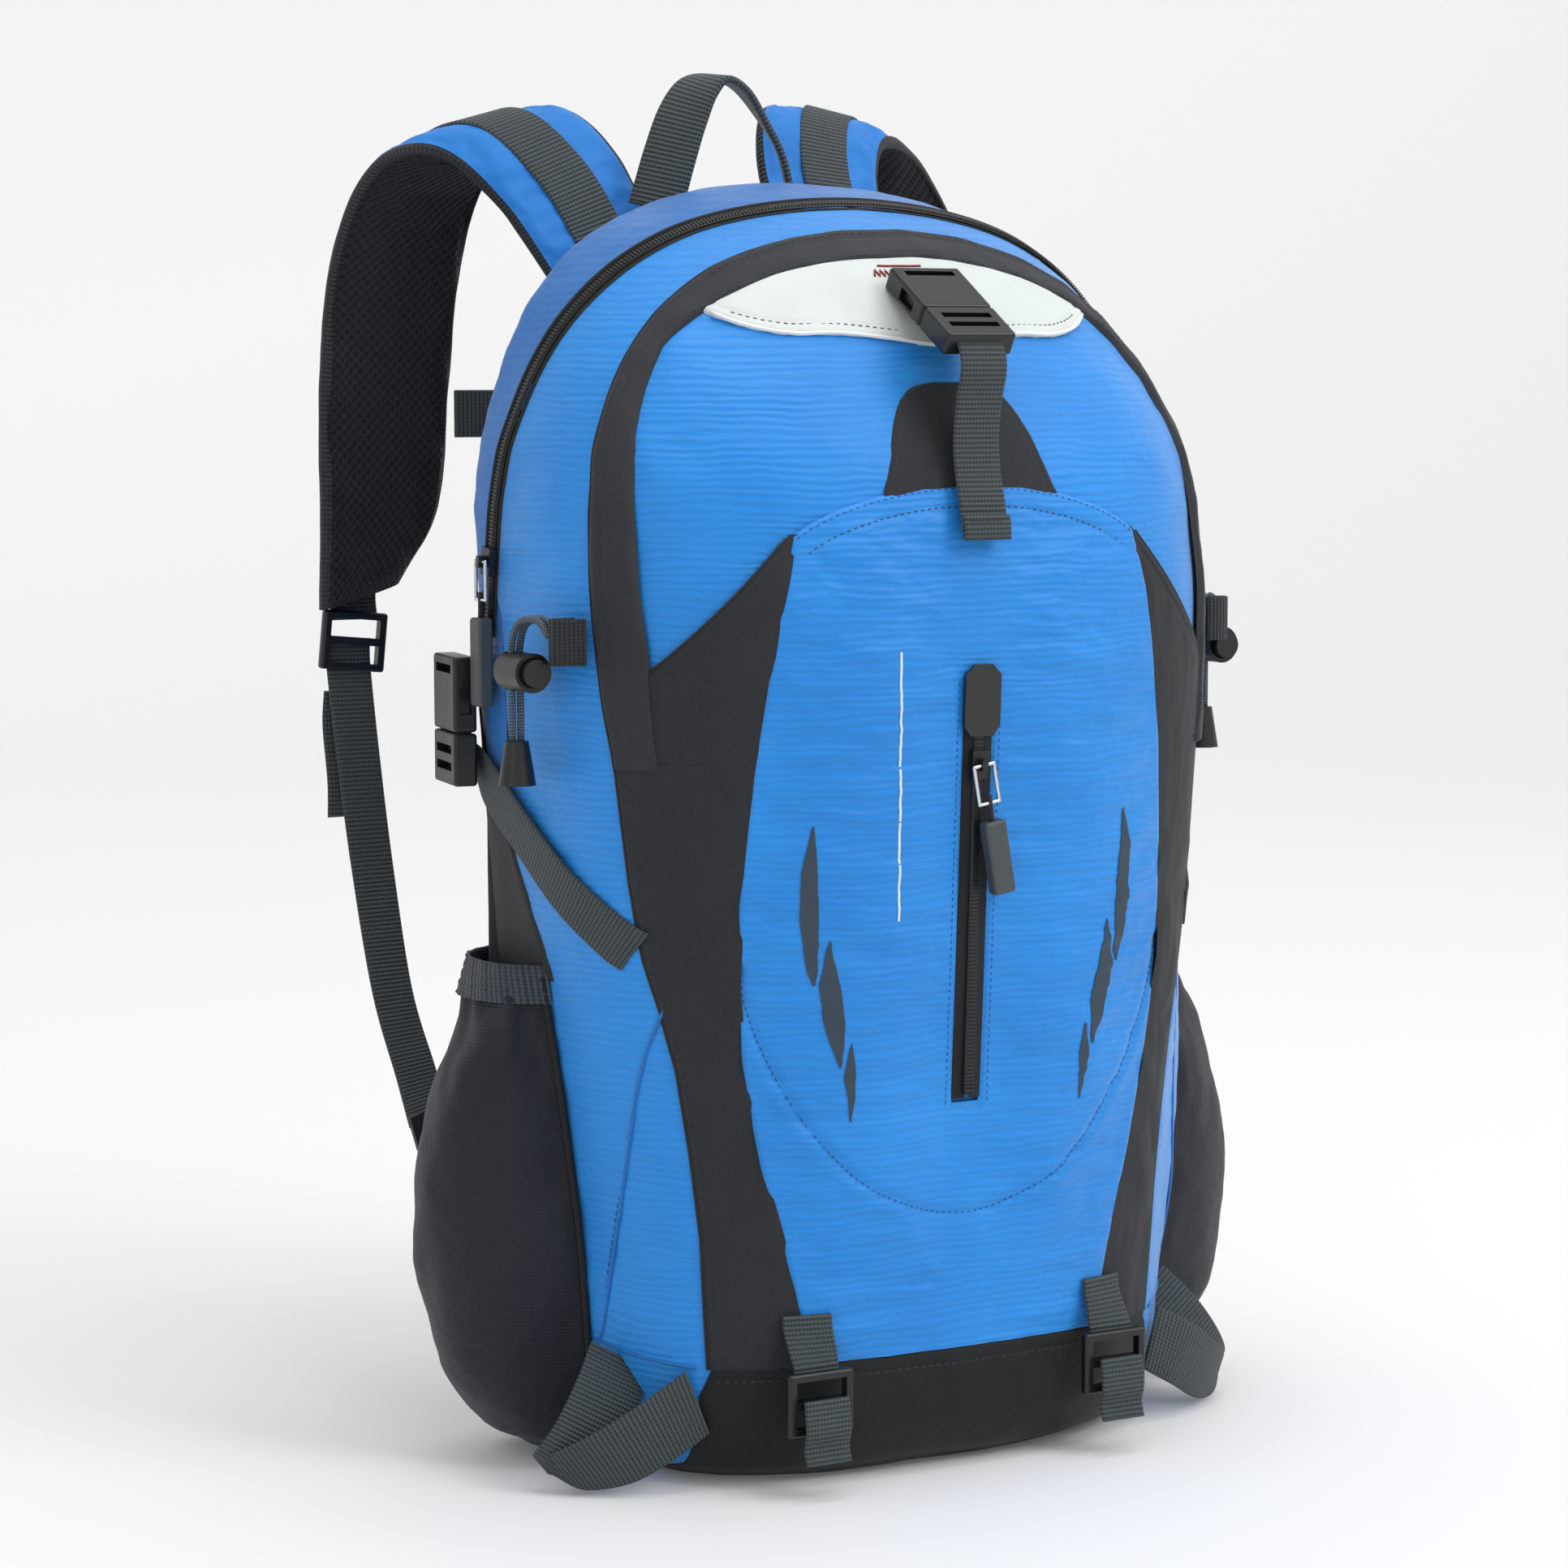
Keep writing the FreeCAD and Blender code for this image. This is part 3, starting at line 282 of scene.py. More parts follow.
# ============================== the bag's form
# Height, half width, front y, back y, front squareness, y of the widest point, back squareness (millimetres).
LEVELS = np.array([
    (1.8, 108.0, -66.0, 54.0, 3.0, 20.0, 4.0),
    (9.0, 119.0, -78.5, 62.0, 3.0, 20.0, 4.0),
    (24.0, 127.0, -84.5, 66.0, 3.0, 20.0, 4.2),
    (60.0, 131.0, -86.0, 66.0, 3.0, 20.0, 4.2),
    (130.0, 136.0, -88.0, 66.0, 3.0, 20.0, 4.2),
    (210.0, 141.0, -92.5, 66.0, 3.0, 20.0, 4.2),
    (290.0, 146.5, -96.9, 66.0, 3.0, 22.0, 4.2),
    (315.0, 148.0, -98.3, 66.0, 2.95, 23.0, 4.2),
    (345.0, 148.5, -98.6, 66.0, 2.9, 24.0, 4.2),
    (375.0, 148.5, -95.4, 66.0, 2.75, 25.0, 4.2),
    (400.0, 146.5, -89.6, 66.0, 2.65, 27.0, 4.1),
    (420.0, 141.0, -81.0, 66.0, 2.55, 30.0, 4.0),
    (445.0, 131.0, -66.0, 66.0, 2.35, 36.0, 3.8),
    (468.0, 116.0, -49.0, 66.0, 2.15, 42.0, 3.5),
    (486.0, 97.0, -28.0, 65.0, 2.0, 46.0, 3.2),
    (499.0, 74.0, 0.0, 64.0, 1.9, 50.0, 2.8),
    (507.0, 46.0, 25.0, 62.0, 1.8, 50.0, 2.6),
    (510.2, 22.0, 40.0, 59.0, 1.9, 51.0, 2.3),
    (511.0, 2.0, 51.0, 54.0, 2.0, 52.5, 2.0)])


def form_at(z):
    """The outline numbers at heights z, by smooth interpolation that doesn't overshoot."""
    z = np.clip(np.asarray(z, float), LEVELS[0, 0], LEVELS[-1, 0])
    heights, values = LEVELS[:, 0], LEVELS[:, 1:]
    steps = np.diff(heights)[:, None]
    slopes = np.diff(values, axis=0) / steps
    before, after = slopes[:-1], slopes[1:]
    with np.errstate(divide="ignore", invalid="ignore"):
        middle = np.where(before * after <= 0, 0.0, 2 * before * after / (before + after))
    tangents = np.vstack([slopes[:1], middle, slopes[-1:]])
    i = np.clip(np.searchsorted(heights, z) - 1, 0, len(heights) - 2)
    t = ((z - heights[i]) / steps[i, 0])[..., None]
    return (values[i] * (1 + 2 * t) * (1 - t) ** 2 + steps[i] * tangents[i] * t * (1 - t) ** 2
            + values[i + 1] * t * t * (3 - 2 * t) + steps[i] * tangents[i + 1] * t * t * (t - 1))


def side_x(y, z, grow=0.0):
    """Half width of the bag at y and z."""
    half, front, back, square, mid, back_square = np.moveaxis(form_at(z), -1, 0)
    reach = np.where(y < mid, mid - front, back - mid)
    power = np.where(y < mid, square, back_square)
    return half * np.clip(1 - (np.abs(y - mid) / reach) ** power, 0, 1) ** (1 / power) + grow


def bag_tree():
    """A dense closed mesh of the bag's form, for casting panels onto."""
    zs = np.concatenate([np.linspace(1.8, 26, 24, endpoint=False), np.linspace(26, 440, 140, endpoint=False),
                         np.linspace(440, 511, 90)])
    angles = np.linspace(0, 2 * math.pi, 340, endpoint=False)
    half, front, back, square, mid, back_square = [column[:,
                                                          None] for column in np.moveaxis(form_at(zs), -1, 0)]
    c, s = np.cos(angles)[None], np.sin(angles)[None]
    power = np.where(s < 0, square, back_square)
    reach = np.where(s < 0, mid - front, back - mid)
    x = half * np.sign(c) * np.abs(c) ** (2 / power)
    y = mid + reach * np.sign(s) * np.abs(s) ** (2 / power)
    z = np.repeat(zs[:, None], len(angles), axis=1)
    points = np.stack([x, y, z], -1)
    rows, cols = len(zs), len(angles)
    verts = [tuple(p) for p in points.reshape(-1, 3)]
    faces = [(r * cols + k, r * cols + (k + 1) % cols, (r + 1) * cols + (k + 1) % cols, (r + 1) * cols + k)
             for r in range(rows - 1) for k in range(cols)]
    faces.append(tuple(reversed(range(cols))))
    faces.append(tuple((rows - 1) * cols + k for k in range(cols)))
    return BVHTree.FromPolygons(verts, faces)


TREE = bag_tree()


def cast(origin, direction):
    """Where a ray meets the bag, or None."""
    return TREE.ray_cast(Vector(origin), Vector(direction).normalized(), 2000.0)[0]


def on_front(x, z):
    """Surface point seen from the front."""
    hit = cast((x, -400, z), (0, 1, 0))
    return hit if hit is not None else Vector((x, 0, z))


def on_side(side, y, z):
    """Surface point seen from one side."""
    hit = cast((side * 500, y, z), (-side, 0, 0))
    return hit if hit is not None else Vector((side * 100, y, z))


def on_arch(y_of_z, angle, z):
    """Surface point on y = y_of_z(z): beside the bag at height z, or over its top at an angle from up."""
    if angle is None:
        side = -1 if z[1] < 0 else 1
        return on_side(side, y_of_z(z[0]), z[0])
    y = y_of_z(480 - 110 * abs(math.sin(angle)))
    hit = None
    for _ in range(4):
        way = Vector((math.sin(angle), 0, math.cos(angle)))
        hit = cast(Vector((0, y, ARCH_LOW)) + way * 500, -way)
        if hit is None:
            return Vector((0, y, 500))
        y = y_of_z(hit.z)
    return hit


ARCH_LOW = 330.0


def arch_samples(low, step, low_right=None):
    """Stations from the bag's left foot over the top to its right foot: (angle, (z, side))."""
    low_right = low if low_right is None else low_right
    left = [(None, (z, -1)) for z in np.arange(low, ARCH_LOW, step)]
    count = int(math.pi * 165 / step)
    top = [(a, None) for a in np.linspace(-math.pi / 2, math.pi / 2, count + 1)]
    right = [(None, (z, 1)) for z in np.arange(low_right, ARCH_LOW, step)][::-1]
    return left + top + right


# ============================== mesh building
def finish_mesh(name, verts, faces, uvs, look, solid=0.0, smooth=True):
    """A mesh object from points in millimetres; uvs are in millimetres, one per vertex."""
    mesh = bpy.data.meshes.new(name)
    mesh.from_pydata([(x * MM, y * MM, z * MM) for x, y, z in verts], [], faces)
    layer = mesh.uv_layers.new(name="UVMap")
    loops = np.empty(len(mesh.loops), np.int32)
    mesh.loops.foreach_get("vertex_index", loops)
    layer.data.foreach_set("uv", np.asarray(uvs, np.float32)[loops].ravel())
    mesh.polygons.foreach_set("use_smooth", [smooth] * len(mesh.polygons))
    mesh.materials.append(LOOKS[look])
    obj = bpy.data.objects.new(name, mesh)
    bpy.context.collection.objects.link(obj)
    if solid:
        thick = obj.modifiers.new("thick", "SOLIDIFY")
        thick.thickness = solid * MM
        thick.offset = -1.0
        apply_all(obj)
    return obj


def apply_all(obj):
    """Applies every modifier of an object."""
    for other in bpy.context.view_layer.objects:
        other.select_set(False)
    obj.select_set(True)
    bpy.context.view_layer.objects.active = obj
    bpy.ops.object.convert(target="MESH")
    return obj


def grid_normals(points):
    """Unit normals of a grid of points, rows by columns."""
    du = np.gradient(points, axis=1)
    dv = np.gradient(points, axis=0)
    n = np.cross(du, dv)
    return n / np.maximum(np.linalg.norm(n, axis=-1, keepdims=True), 1e-9)


def grid_lengths(points):
    """Running length along columns and along rows, in millimetres."""
    u = np.concatenate([np.zeros((points.shape[0], 1)),
                        np.cumsum(np.linalg.norm(np.diff(points, axis=1), axis=-1), 1)], 1)
    v = np.concatenate([np.zeros((1, points.shape[1])),
                        np.cumsum(np.linalg.norm(np.diff(points, axis=0), axis=-1), 0)], 0)
    return u, v


def fbm(points, scale, seed, octaves=3):
    """Smooth noise at grid points, about -1 to 1."""
    out = np.zeros(points.shape[:-1])
    flat = points.reshape(-1, 3) / scale
    shift = Vector((seed * 7.13, seed * 3.71, seed * 5.37))
    values = [noise.fractal(Vector(p) + shift, 0.9, 2.0, octaves) for p in flat]
    return np.array(values).reshape(out.shape)


def grid_object(name, points, look, uvs=None, solid=0.0, wrap=False, flip=False):
    """A cloth object from a grid of points (rows, columns)."""
    rows, cols = points.shape[:2]
    if uvs is None:
        u, v = grid_lengths(points)
        uvs = np.stack([u, points[..., 2]], -1)
    faces = []
    span = cols if wrap else cols - 1
    for r in range(rows - 1):
        for k in range(span):
            quad = (r * cols + k, r * cols + (k + 1) % cols, (r + 1) * cols + (k + 1) % cols,
                    (r + 1) * cols + k)
            faces.append(quad[::-1] if flip else quad)
    return finish_mesh(name, points.reshape(-1, 3), faces, uvs.reshape(-1, 2), look, solid)


def edge_distance(points, rows=True, cols=True):
    """For each grid point, the distance along the cloth to its nearest edge."""
    u, v = grid_lengths(points)
    out = np.full(points.shape[:2], 1e9)
    if cols:
        out = np.minimum(out, np.minimum(u, u[:, -1:] - u))
    if rows:
        out = np.minimum(out, np.minimum(v, v[-1:, :] - v))
    return out


def rolled(distance, height, width=2.2, sink=0.9):
    """Height of a sewn panel: its edge rolls down under the seam."""
    t = np.clip(distance / width, 0, 1)
    return -sink + (height + sink) * np.sqrt(1 - (1 - t) ** 2)


def tube(name, path, radius, look, ring=8, uv_scale=1.0, cap=True):
    """A round cord or piping along points in millimetres."""
    path = [Vector(p) for p in path]
    verts, faces, uvs = [], [], []
    normal = None
    run = 0.0
    for i, p in enumerate(path):
        ahead = path[min(i + 1, len(path) - 1)] - path[max(i - 1, 0)]
        ahead.normalize()
        if normal is None:
            normal = ahead.orthogonal().normalized()
        normal = (normal - ahead * normal.dot(ahead)).normalized()
        other = ahead.cross(normal)
        if i:
            run += (p - path[i - 1]).length
        for k in range(ring):
            a = 2 * math.pi * k / ring
            verts.append(p + (normal * math.cos(a) + other * math.sin(a)) * radius)
            uvs.append((radius * a, run * uv_scale))
    for i in range(len(path) - 1):
        for k in range(ring):
            faces.append((i * ring + k, i * ring + (k + 1) % ring, (i + 1) * ring + (k + 1) % ring,
                          (i + 1) * ring + k))
    if cap:
        faces.append(tuple(reversed(range(ring))))
        faces.append(tuple((len(path) - 1) * ring + k for k in range(ring)))
    return finish_mesh(name, verts, faces, uvs, look)


def catmull(points, per=10):
    """A smooth line through points (any numbers of values each)."""
    pts = [np.asarray(p, float) for p in points]
    pts = [2 * pts[0] - pts[1]] + pts + [2 * pts[-1] - pts[-2]]
    out = []
    for i in range(1, len(pts) - 2):
        p0, p1, p2, p3 = pts[i - 1:i + 3]
        for k in range(per):
            t = k / per
            out.append(0.5 * (2 * p1 + (p2 - p0) * t + (2 * p0 - 5 * p1 + 4 * p2 - p3) * t * t
                              + (3 * p1 - p0 - 3 * p2 + p3) * t ** 3))
    out.append(pts[-2])
    return np.array(out)


def strap(name, stations, width, thick, look, per=10, profile=None, widths=None):
    """Webbing along stations (centre, across, normal): flat, with round edges, mapped in millimetres."""
    line = catmull([np.concatenate([c, a, n]) for c, a, n in stations], per)
    scale = catmull([[w] for w in (widths or [1.0] * len(stations))], per)[:, 0]
    centres = line[:, :3]
    across = line[:, 3:6] / np.linalg.norm(line[:, 3:6], axis=1, keepdims=True)
    normal = line[:, 6:9] - across * np.sum(line[:, 6:9] * across, 1)[:, None]
    normal /= np.linalg.norm(normal, axis=1, keepdims=True)
    half, t = width / 2, thick / 2
    if profile is None:
        profile = [(-half, 0.0), (-half + 0.35 * t, 0.75 * t), (-half + t, t), (-half * 0.5, t), (0, t),
                   (half * 0.5, t),
                   (half - t, t), (half - 0.35 * t, 0.75 * t), (half, 0.0), (half - 0.35 * t, -0.75 * t),
                   (half - t, -t),
                   (half * 0.5, -t), (0, -t), (-half * 0.5, -t), (-half + t, -t),
                   (-half + 0.35 * t, -0.75 * t)]
    run = np.concatenate([[0], np.cumsum(np.linalg.norm(np.diff(centres, axis=0), axis=1))])
    n = len(profile)
    verts, uvs, faces = [], [], []
    for i in range(len(centres)):
        for u, v in profile:
            verts.append(centres[i] + across[i] * u * scale[i] + normal[i] * v)
            uvs.append((u, run[i]))
    for i in range(len(centres) - 1):
        for k in range(n):
            faces.append((i * n + k, i * n + (k + 1) % n, (i + 1) * n + (k + 1) % n, (i + 1) * n + k))
    faces.append(tuple(reversed(range(n))))
    faces.append(tuple((len(centres) - 1) * n + k for k in range(n)))
    return finish_mesh(name, verts, faces, uvs, look)


def stitches(name, points, normals, look, pitch=3.4, length=2.3, width=0.55, lift=0.25):
    """A row of stitches: short raised threads along a line of points."""
    points = [Vector(p) for p in points]
    normals = [Vector(n) for n in normals]
    run = [0.0]
    for a, b in zip(points, points[1:]):
        run.append(run[-1] + (b - a).length)
    verts, faces, uvs = [], [], []
    s, i = pitch / 2, 0
    while s < run[-1] - pitch / 2:
        while run[i + 1] < s:
            i += 1
        t = (s - run[i]) / max(run[i + 1] - run[i], 1e-9)
        p = points[i].lerp(points[i + 1], t)
        n = normals[i].lerp(normals[i + 1], t).normalized()
        way = (points[i + 1] - points[i]).normalized()
        side = n.cross(way).normalized()
        base = len(verts)
        for along, out in ((-0.5, -0.3), (-0.3, lift), (0.3, lift), (0.5, -0.3)):
            for across in (-0.5, 0.5):
                verts.append(p + way * along * length + side * across * width + n * out)
                uvs.append((0, 0))
        for k in (0, 2, 4):
            faces.append((base + k, base + k + 1, base + k + 3, base + k + 2))
        s += pitch
    return finish_mesh(name, verts, faces, uvs, look)


# ============================== surfaces by formula
def smooth(x, low, high):
    """Eased step from 0 at low to 1 at high."""
    t = np.clip((x - low) / (high - low), 0, 1)
    return t * t * (3 - 2 * t)


def front_y(x, z):
    """Depth of the bag's front at x and z."""
    half, front, back, square, mid, back_square = np.moveaxis(form_at(z), -1, 0)
    return mid - (mid - front) * np.clip(1 - (np.abs(x) / half) ** square, 0, 1) ** (1 / square)


def front_frame(x, z):
    """Points and outward normals on the front, for arrays of x and z."""
    x, z = np.broadcast_arrays(np.asarray(x, float), np.asarray(z, float))
    y = front_y(x, z)
    dx = (front_y(x + 0.5, z) - front_y(x - 0.5, z))
    dz = (front_y(x, z + 0.5) - front_y(x, z - 0.5))
    n = np.stack([dx, -np.ones_like(y), dz], -1)
    return np.stack([x, y, z], -1), n / np.linalg.norm(n, axis=-1, keepdims=True)


def side_frame(side, y, z):
    """Points and outward normals on one side, for arrays of y and z."""
    y, z = np.broadcast_arrays(np.asarray(y, float), np.asarray(z, float))
    x = side_x(y, z)
    dy = side_x(y + 0.5, z) - side_x(y - 0.5, z)
    dz = side_x(y, z + 0.5) - side_x(y, z - 0.5)
    n = np.stack([side * np.ones_like(x), -dy, -dz], -1)
    return np.stack([side * x, y, z], -1), n / np.linalg.norm(n, axis=-1, keepdims=True)


def fullness(points):
    """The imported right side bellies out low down, between dark panel and bottle pocket (millimetres)."""
    x, y, z = points[..., 0], points[..., 1], points[..., 2]
    swell = np.exp(-((y + 8.0) / 34.0) ** 2) * np.exp(
                                                      -((z - 118.0)
                                                        / 82.0) ** 2) * smooth(y, -62, -34) * smooth(z, 4, 40)
    return 13.0 * swell * (x > 60)


def ring_run(z, start, stop, count):
    """Evenly spaced points of the outline at height z between two angles."""
    half, front, back, square, mid, back_square = form_at(z)
    a = np.linspace(start, stop, 900)
    c, s = np.cos(a), np.sin(a)
    power = np.where(s < 0, square, back_square)
    reach = np.where(s < 0, mid - front, back - mid)
    x = half * np.sign(c) * np.abs(c) ** (2 / power)
    y = mid + reach * np.sign(s) * np.abs(s) ** (2 / power)
    run = np.concatenate([[0], np.cumsum(np.hypot(np.diff(x), np.diff(y)))])
    at = np.linspace(0, run[-1], count)
    return np.stack([np.interp(at, run, x), np.interp(at, run, y), np.full(count, z)], -1)


def angle_of_y(y, z):
    """Angle on the right half where the outline at height z reaches y."""
    half, front, back, square, mid, back_square = form_at(z)
    if y <= front:
        return -math.pi / 2
    if y < mid:
        return -math.asin(min(1.0, ((mid - y) / (mid - front)) ** (square / 2)))
    return math.asin(min(1.0, ((y - mid) / (back - mid)) ** (back_square / 2)))


def angle_of_x(x, z):
    """Angle on the right half of the front where the outline at height z reaches x."""
    half, square = form_at(z)[0], form_at(z)[3]
    return -math.acos(min(1.0, (min(x, half) / half) ** (square / 2)))


def pieces_of(table):
    """A smooth-enough function from a short list of (z, value) pairs."""
    zs, values = zip(*sorted(table))
    return lambda z: float(np.interp(z, zs, values))


def zip_line(z):
    """Depth of the main zip's plane at height z."""
    return 22.0 - 0.15 * (z - 350.0)


def outline_distance(x, z, outline):
    """Distance of points to a line of (x, z) corners."""
    p = np.stack([x, z], -1)
    best = np.full(x.shape, 1e9)
    for (x0, z0), (x1, z1) in zip(outline, outline[1:]):
        a, d = np.array([x0, z0]), np.array([x1 - x0, z1 - z0])
        t = np.clip(((p - a) @ d) / max(d @ d, 1e-9), 0, 1)
        best = np.minimum(best, np.linalg.norm(p - a - t[..., None] * d, axis=-1))
    return best


def fold_blend(obj):
    """Bakes the object's placement into its mesh."""
    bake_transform(obj)
    return obj


def merge(name, objs):
    """Joins meshes into one object."""
    for other in bpy.context.view_layer.objects:
        other.select_set(False)
    for obj in objs:
        obj.select_set(True)
    bpy.context.view_layer.objects.active = objs[0]
    if len(objs) > 1:
        bpy.ops.object.join()
    objs[0].name = name
    return objs[0]


def inflate(obj, pins, pressure, frames=14, cap=3.0, slack=0.02):
    """Cloth settles over its filling: a pressure simulation, sewn vertices held, movement capped in mm."""
    mesh = obj.data
    before = np.empty(len(mesh.vertices) * 3)
    mesh.vertices.foreach_get("co", before)
    group = obj.vertex_groups.new(name="sewn")
    for index, weight in enumerate(pins):
        if weight > 0:
            group.add([index], float(weight), "REPLACE")
    cloth = obj.modifiers.new("cloth", "CLOTH")
    setting = cloth.settings
    setting.quality = 5
    setting.mass = 0.25
    setting.tension_stiffness = setting.compression_stiffness = 12.0
    setting.shear_stiffness = 4.0
    setting.bending_stiffness = 0.4
    setting.use_pressure = True
    setting.uniform_pressure_force = pressure
    setting.shrink_min = -slack
    setting.vertex_group_mass = "sewn"
    setting.effector_weights.gravity = 0.0
    cloth.collision_settings.use_collision = False
    cloth.point_cache.frame_start, cloth.point_cache.frame_end = 1, frames
    scene = bpy.context.scene
    for frame_number in range(1, frames + 1):
        scene.frame_set(frame_number)
    evaluated = obj.evaluated_get(bpy.context.evaluated_depsgraph_get()).to_mesh()
    after = np.empty(len(evaluated.vertices) * 3)
    evaluated.vertices.foreach_get("co", after)
    obj.modifiers.remove(cloth)
    obj.vertex_groups.remove(group)
    scene.frame_set(1)
    step = (after - before).reshape(-1, 3)
    size = np.linalg.norm(step, axis=1, keepdims=True)
    step = step * np.minimum(1.0, cap * MM / np.maximum(size, 1e-9))
    mesh.vertices.foreach_set("co", (before.reshape(-1, 3) + step).ravel())
    mesh.update()
    return obj

# Depth of the dark panel's rear edge and of the storm flap's two edges, by height.
panel_edge = pieces_of([(48, -65), (100, -66), (135, -65), (167, -63.5), (192, -60), (211, -56), (240, -53.5),
                        (272, -52),
                        (290, -51)])
band_front = pieces_of([(270, -67.5), (305, -66), (330, -64.5), (354, -61), (376, -57), (403, -51),
                        (427, -42), (443, -36.5),
                        (455, -36), (470, -38), (480, -41)])
band_rear = pieces_of([(270, -53), (290, -51), (311, -48), (335, -45), (360, -42), (391, -38.5), (418, -33),
                       (440, -27.5),
                       (457, -24), (474, -22), (490, -23)])

# ============================== main cloth
def rear_cloth():
    """Blue gusset, sides and back: everything behind the main zip and the front corners."""
    zs = np.concatenate([np.linspace(1.8, 24, 12, endpoint=False), np.linspace(24, 470, 130, endpoint=False),
                         np.linspace(470, 498.5, 30, endpoint=False), np.linspace(498.5, 511, 26)])
    edge = pieces_of([(0, 15.6), (338, 15.6), (346, zip_line(346) + 0.4), (505, zip_line(505) + 0.4)])
    rows = []
    for z in zs:
        a = angle_of_y(edge(z), z)
        rows.append(ring_run(z, a, math.pi - a, 300))
    points = np.array(rows)
    n = grid_normals(points)
    n[-1] = (0, 0, 1)
    wrinkle = 0.9 * fbm(points * (1, 1, 1.6), 60.0, 3) + 0.35 * fbm(points * (1, 1, 2.0), 17.0, 5)
    flat_back = smooth(points[..., 1], 50, 61) * (1 - smooth(points[..., 2], 476, 486))
    height = wrinkle * smooth(points[..., 2], 2, 20) * (1 - flat_back) - 1.2 * flat_back + fullness(points)
    points = points + n * height[..., None]
    u, _ = grid_lengths(points)
    # The gusset, sides and back use the darker copy of the azure nylon: painted shade.
    obj = grid_object("rear_cloth", points, "blue_painted_shade", np.stack([u, points[..., 2]], -1))
    mesh = obj.data
    # close the underside
    bm = bmesh.new()
    bm.from_mesh(mesh)
    bm.verts.ensure_lookup_table()
    low = [bm.verts[i] for i in range(300)]
    bm.faces.new(low[::-1])
    bm.to_mesh(mesh)
    bm.free()
    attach(obj, "bag")
    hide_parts("rear_shell")
    return obj


def front_cloth():
    """The front and hood cloth from the base to the zip, in one piece."""
    zs = np.concatenate([np.linspace(2, 24, 10, endpoint=False), np.linspace(24, 470, 150, endpoint=False),
                         np.linspace(470, 499.3, 34)])
    edge = pieces_of([(0, 16.4), (338, 16.4), (346, zip_line(346) - 0.9), (505, zip_line(505) - 0.9)])
    rows = []
    for z in zs:
        a = angle_of_y(edge(z), z)
        rows.append(ring_run(z, -math.pi - a, a, 260))
    points = np.array(rows)
    n = grid_normals(points)
    u, _ = grid_lengths(points)
    e = edge_distance(points, rows=False)
    wrinkle = 1.1 * fbm(points * (1, 1, 1.8), 70.0, 8) + 0.4 * fbm(points * (1, 1, 3.0), 20.0, 9)
    hood = smooth(points[..., 2], 360, 400)
    wrinkle = wrinkle * (1 - 0.3 * hood)
    open_side = smooth(points[..., 1] - np.vectorize(panel_edge)(points[..., 2]), -6, 4)
    shown = np.maximum(hood, open_side)
    height = shown * (wrinkle * smooth(e, 0, 12) + 0.15) - 2.0 * (1 - shown) + fullness(points)
    reach = front_y(points[..., 0], points[..., 2]) - np.vectorize(band_front)(points[..., 2])
    gathers = np.sin(u / 6.0 + points[..., 2] / 4.5 + 2.0 * fbm(points, 40.0, 11, 2))
    height = height + 0.5 * gathers * np.exp(-np.abs(reach + 4) / 9.0) * hood
    points = points + n * height[..., None]
    obj = grid_object("front_cloth", points, "blue", np.stack([u - u[:, -1:] / 2, points[..., 2]], -1),
                      solid=1.2)
    fold_blend(obj)
    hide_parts("front_shell", "hood_shell")
    return obj


rear_cloth()
front_cloth()

# ============================== front pocket
POCKET_TOP = [(-77, 372.5), (-70, 377), (-59, 382), (-42, 387), (-22, 390.4), (0, 391.4), (22, 390.4),
              (42, 387), (59, 382),
              (70, 377), (77, 372.5)]
POCKET_SIDE = [(66, 50), (73, 82), (84, 122), (92, 160), (96.5, 200), (96, 240), (92, 290), (85, 340),
               (77, 372.5)]
pocket_half = pieces_of([(z, x) for x,
                         z in POCKET_SIDE + [(70, 377), (59, 382), (42, 387), (22, 390.4), (3, 391.4)]])
POCKET_OUTLINE = [(-x, z) for x, z in POCKET_SIDE] + POCKET_TOP[1:-1] + [(x, z) for x,
                                                                         z in reversed(POCKET_SIDE)]
U_SEAM = [(-95, 207), (-92, 190), (-82, 166), (-66, 141), (-45, 120), (-20, 108), (0, 104.5), (20, 108),
          (45, 120), (66, 141),
          (82, 166), (92, 190), (95, 207)]
U_SEAM = [tuple(p) for p in catmull(U_SEAM, 6)]


def pocket_height(x, z, points):
    """How far the pocket cloth stands off the bag."""
    edge = outline_distance(x, z, POCKET_OUTLINE)
    edge_top = outline_distance(x, z, POCKET_TOP)
    seam = outline_distance(x, z, U_SEAM)
    h = rolled(edge, 1.5, 2.4, 0.6)
    puff = 3.2 * smooth(edge, 2, 45) * smooth(np.abs(x), 9, 40) * smooth(z, 55,
                                                                         110) * (1 - smooth(z, 320, 372))
    h = h + puff
    h = h - 1.1 * np.exp(-(seam / 2.0) ** 2) + 0.25 * np.exp(-((seam - 4) / 3.0) ** 2)
    h = h - 0.45 * np.exp(-((edge_top - 9.0) / 0.9) ** 2)
    pull = np.sin(x / 5.2 + 1.5 * fbm(points, 22.0, 21,
                                      2)) * np.exp(-np.abs(z - 104) / 15) * smooth(z, 60, 84)
    h = h + 0.7 * pull * np.exp(-(x / 60) ** 2)
    creases = fbm(points * (1.0, 1.0, 4.2), 34.0, 31, 4)
    h = h + 1.25 * creases * smooth(edge, 1, 10) * smooth(np.abs(x), 7, 16)
    diag = fbm(np.stack([x + 1.3 * z, points[..., 1], z - 0.4 * x], -1) * (1, 1, 0.35), 26.0, 37, 3)
    h = h + 0.9 * diag * smooth(edge, 1, 14) * smooth(z, 300, 360) * smooth(np.abs(x), 8, 20)
    slot = smooth(np.abs(x), 5.6, 8.0) + smooth(np.abs(z - 232), 84, 87)
    return h - 1.4 * (1 - np.clip(slot, 0, 1))


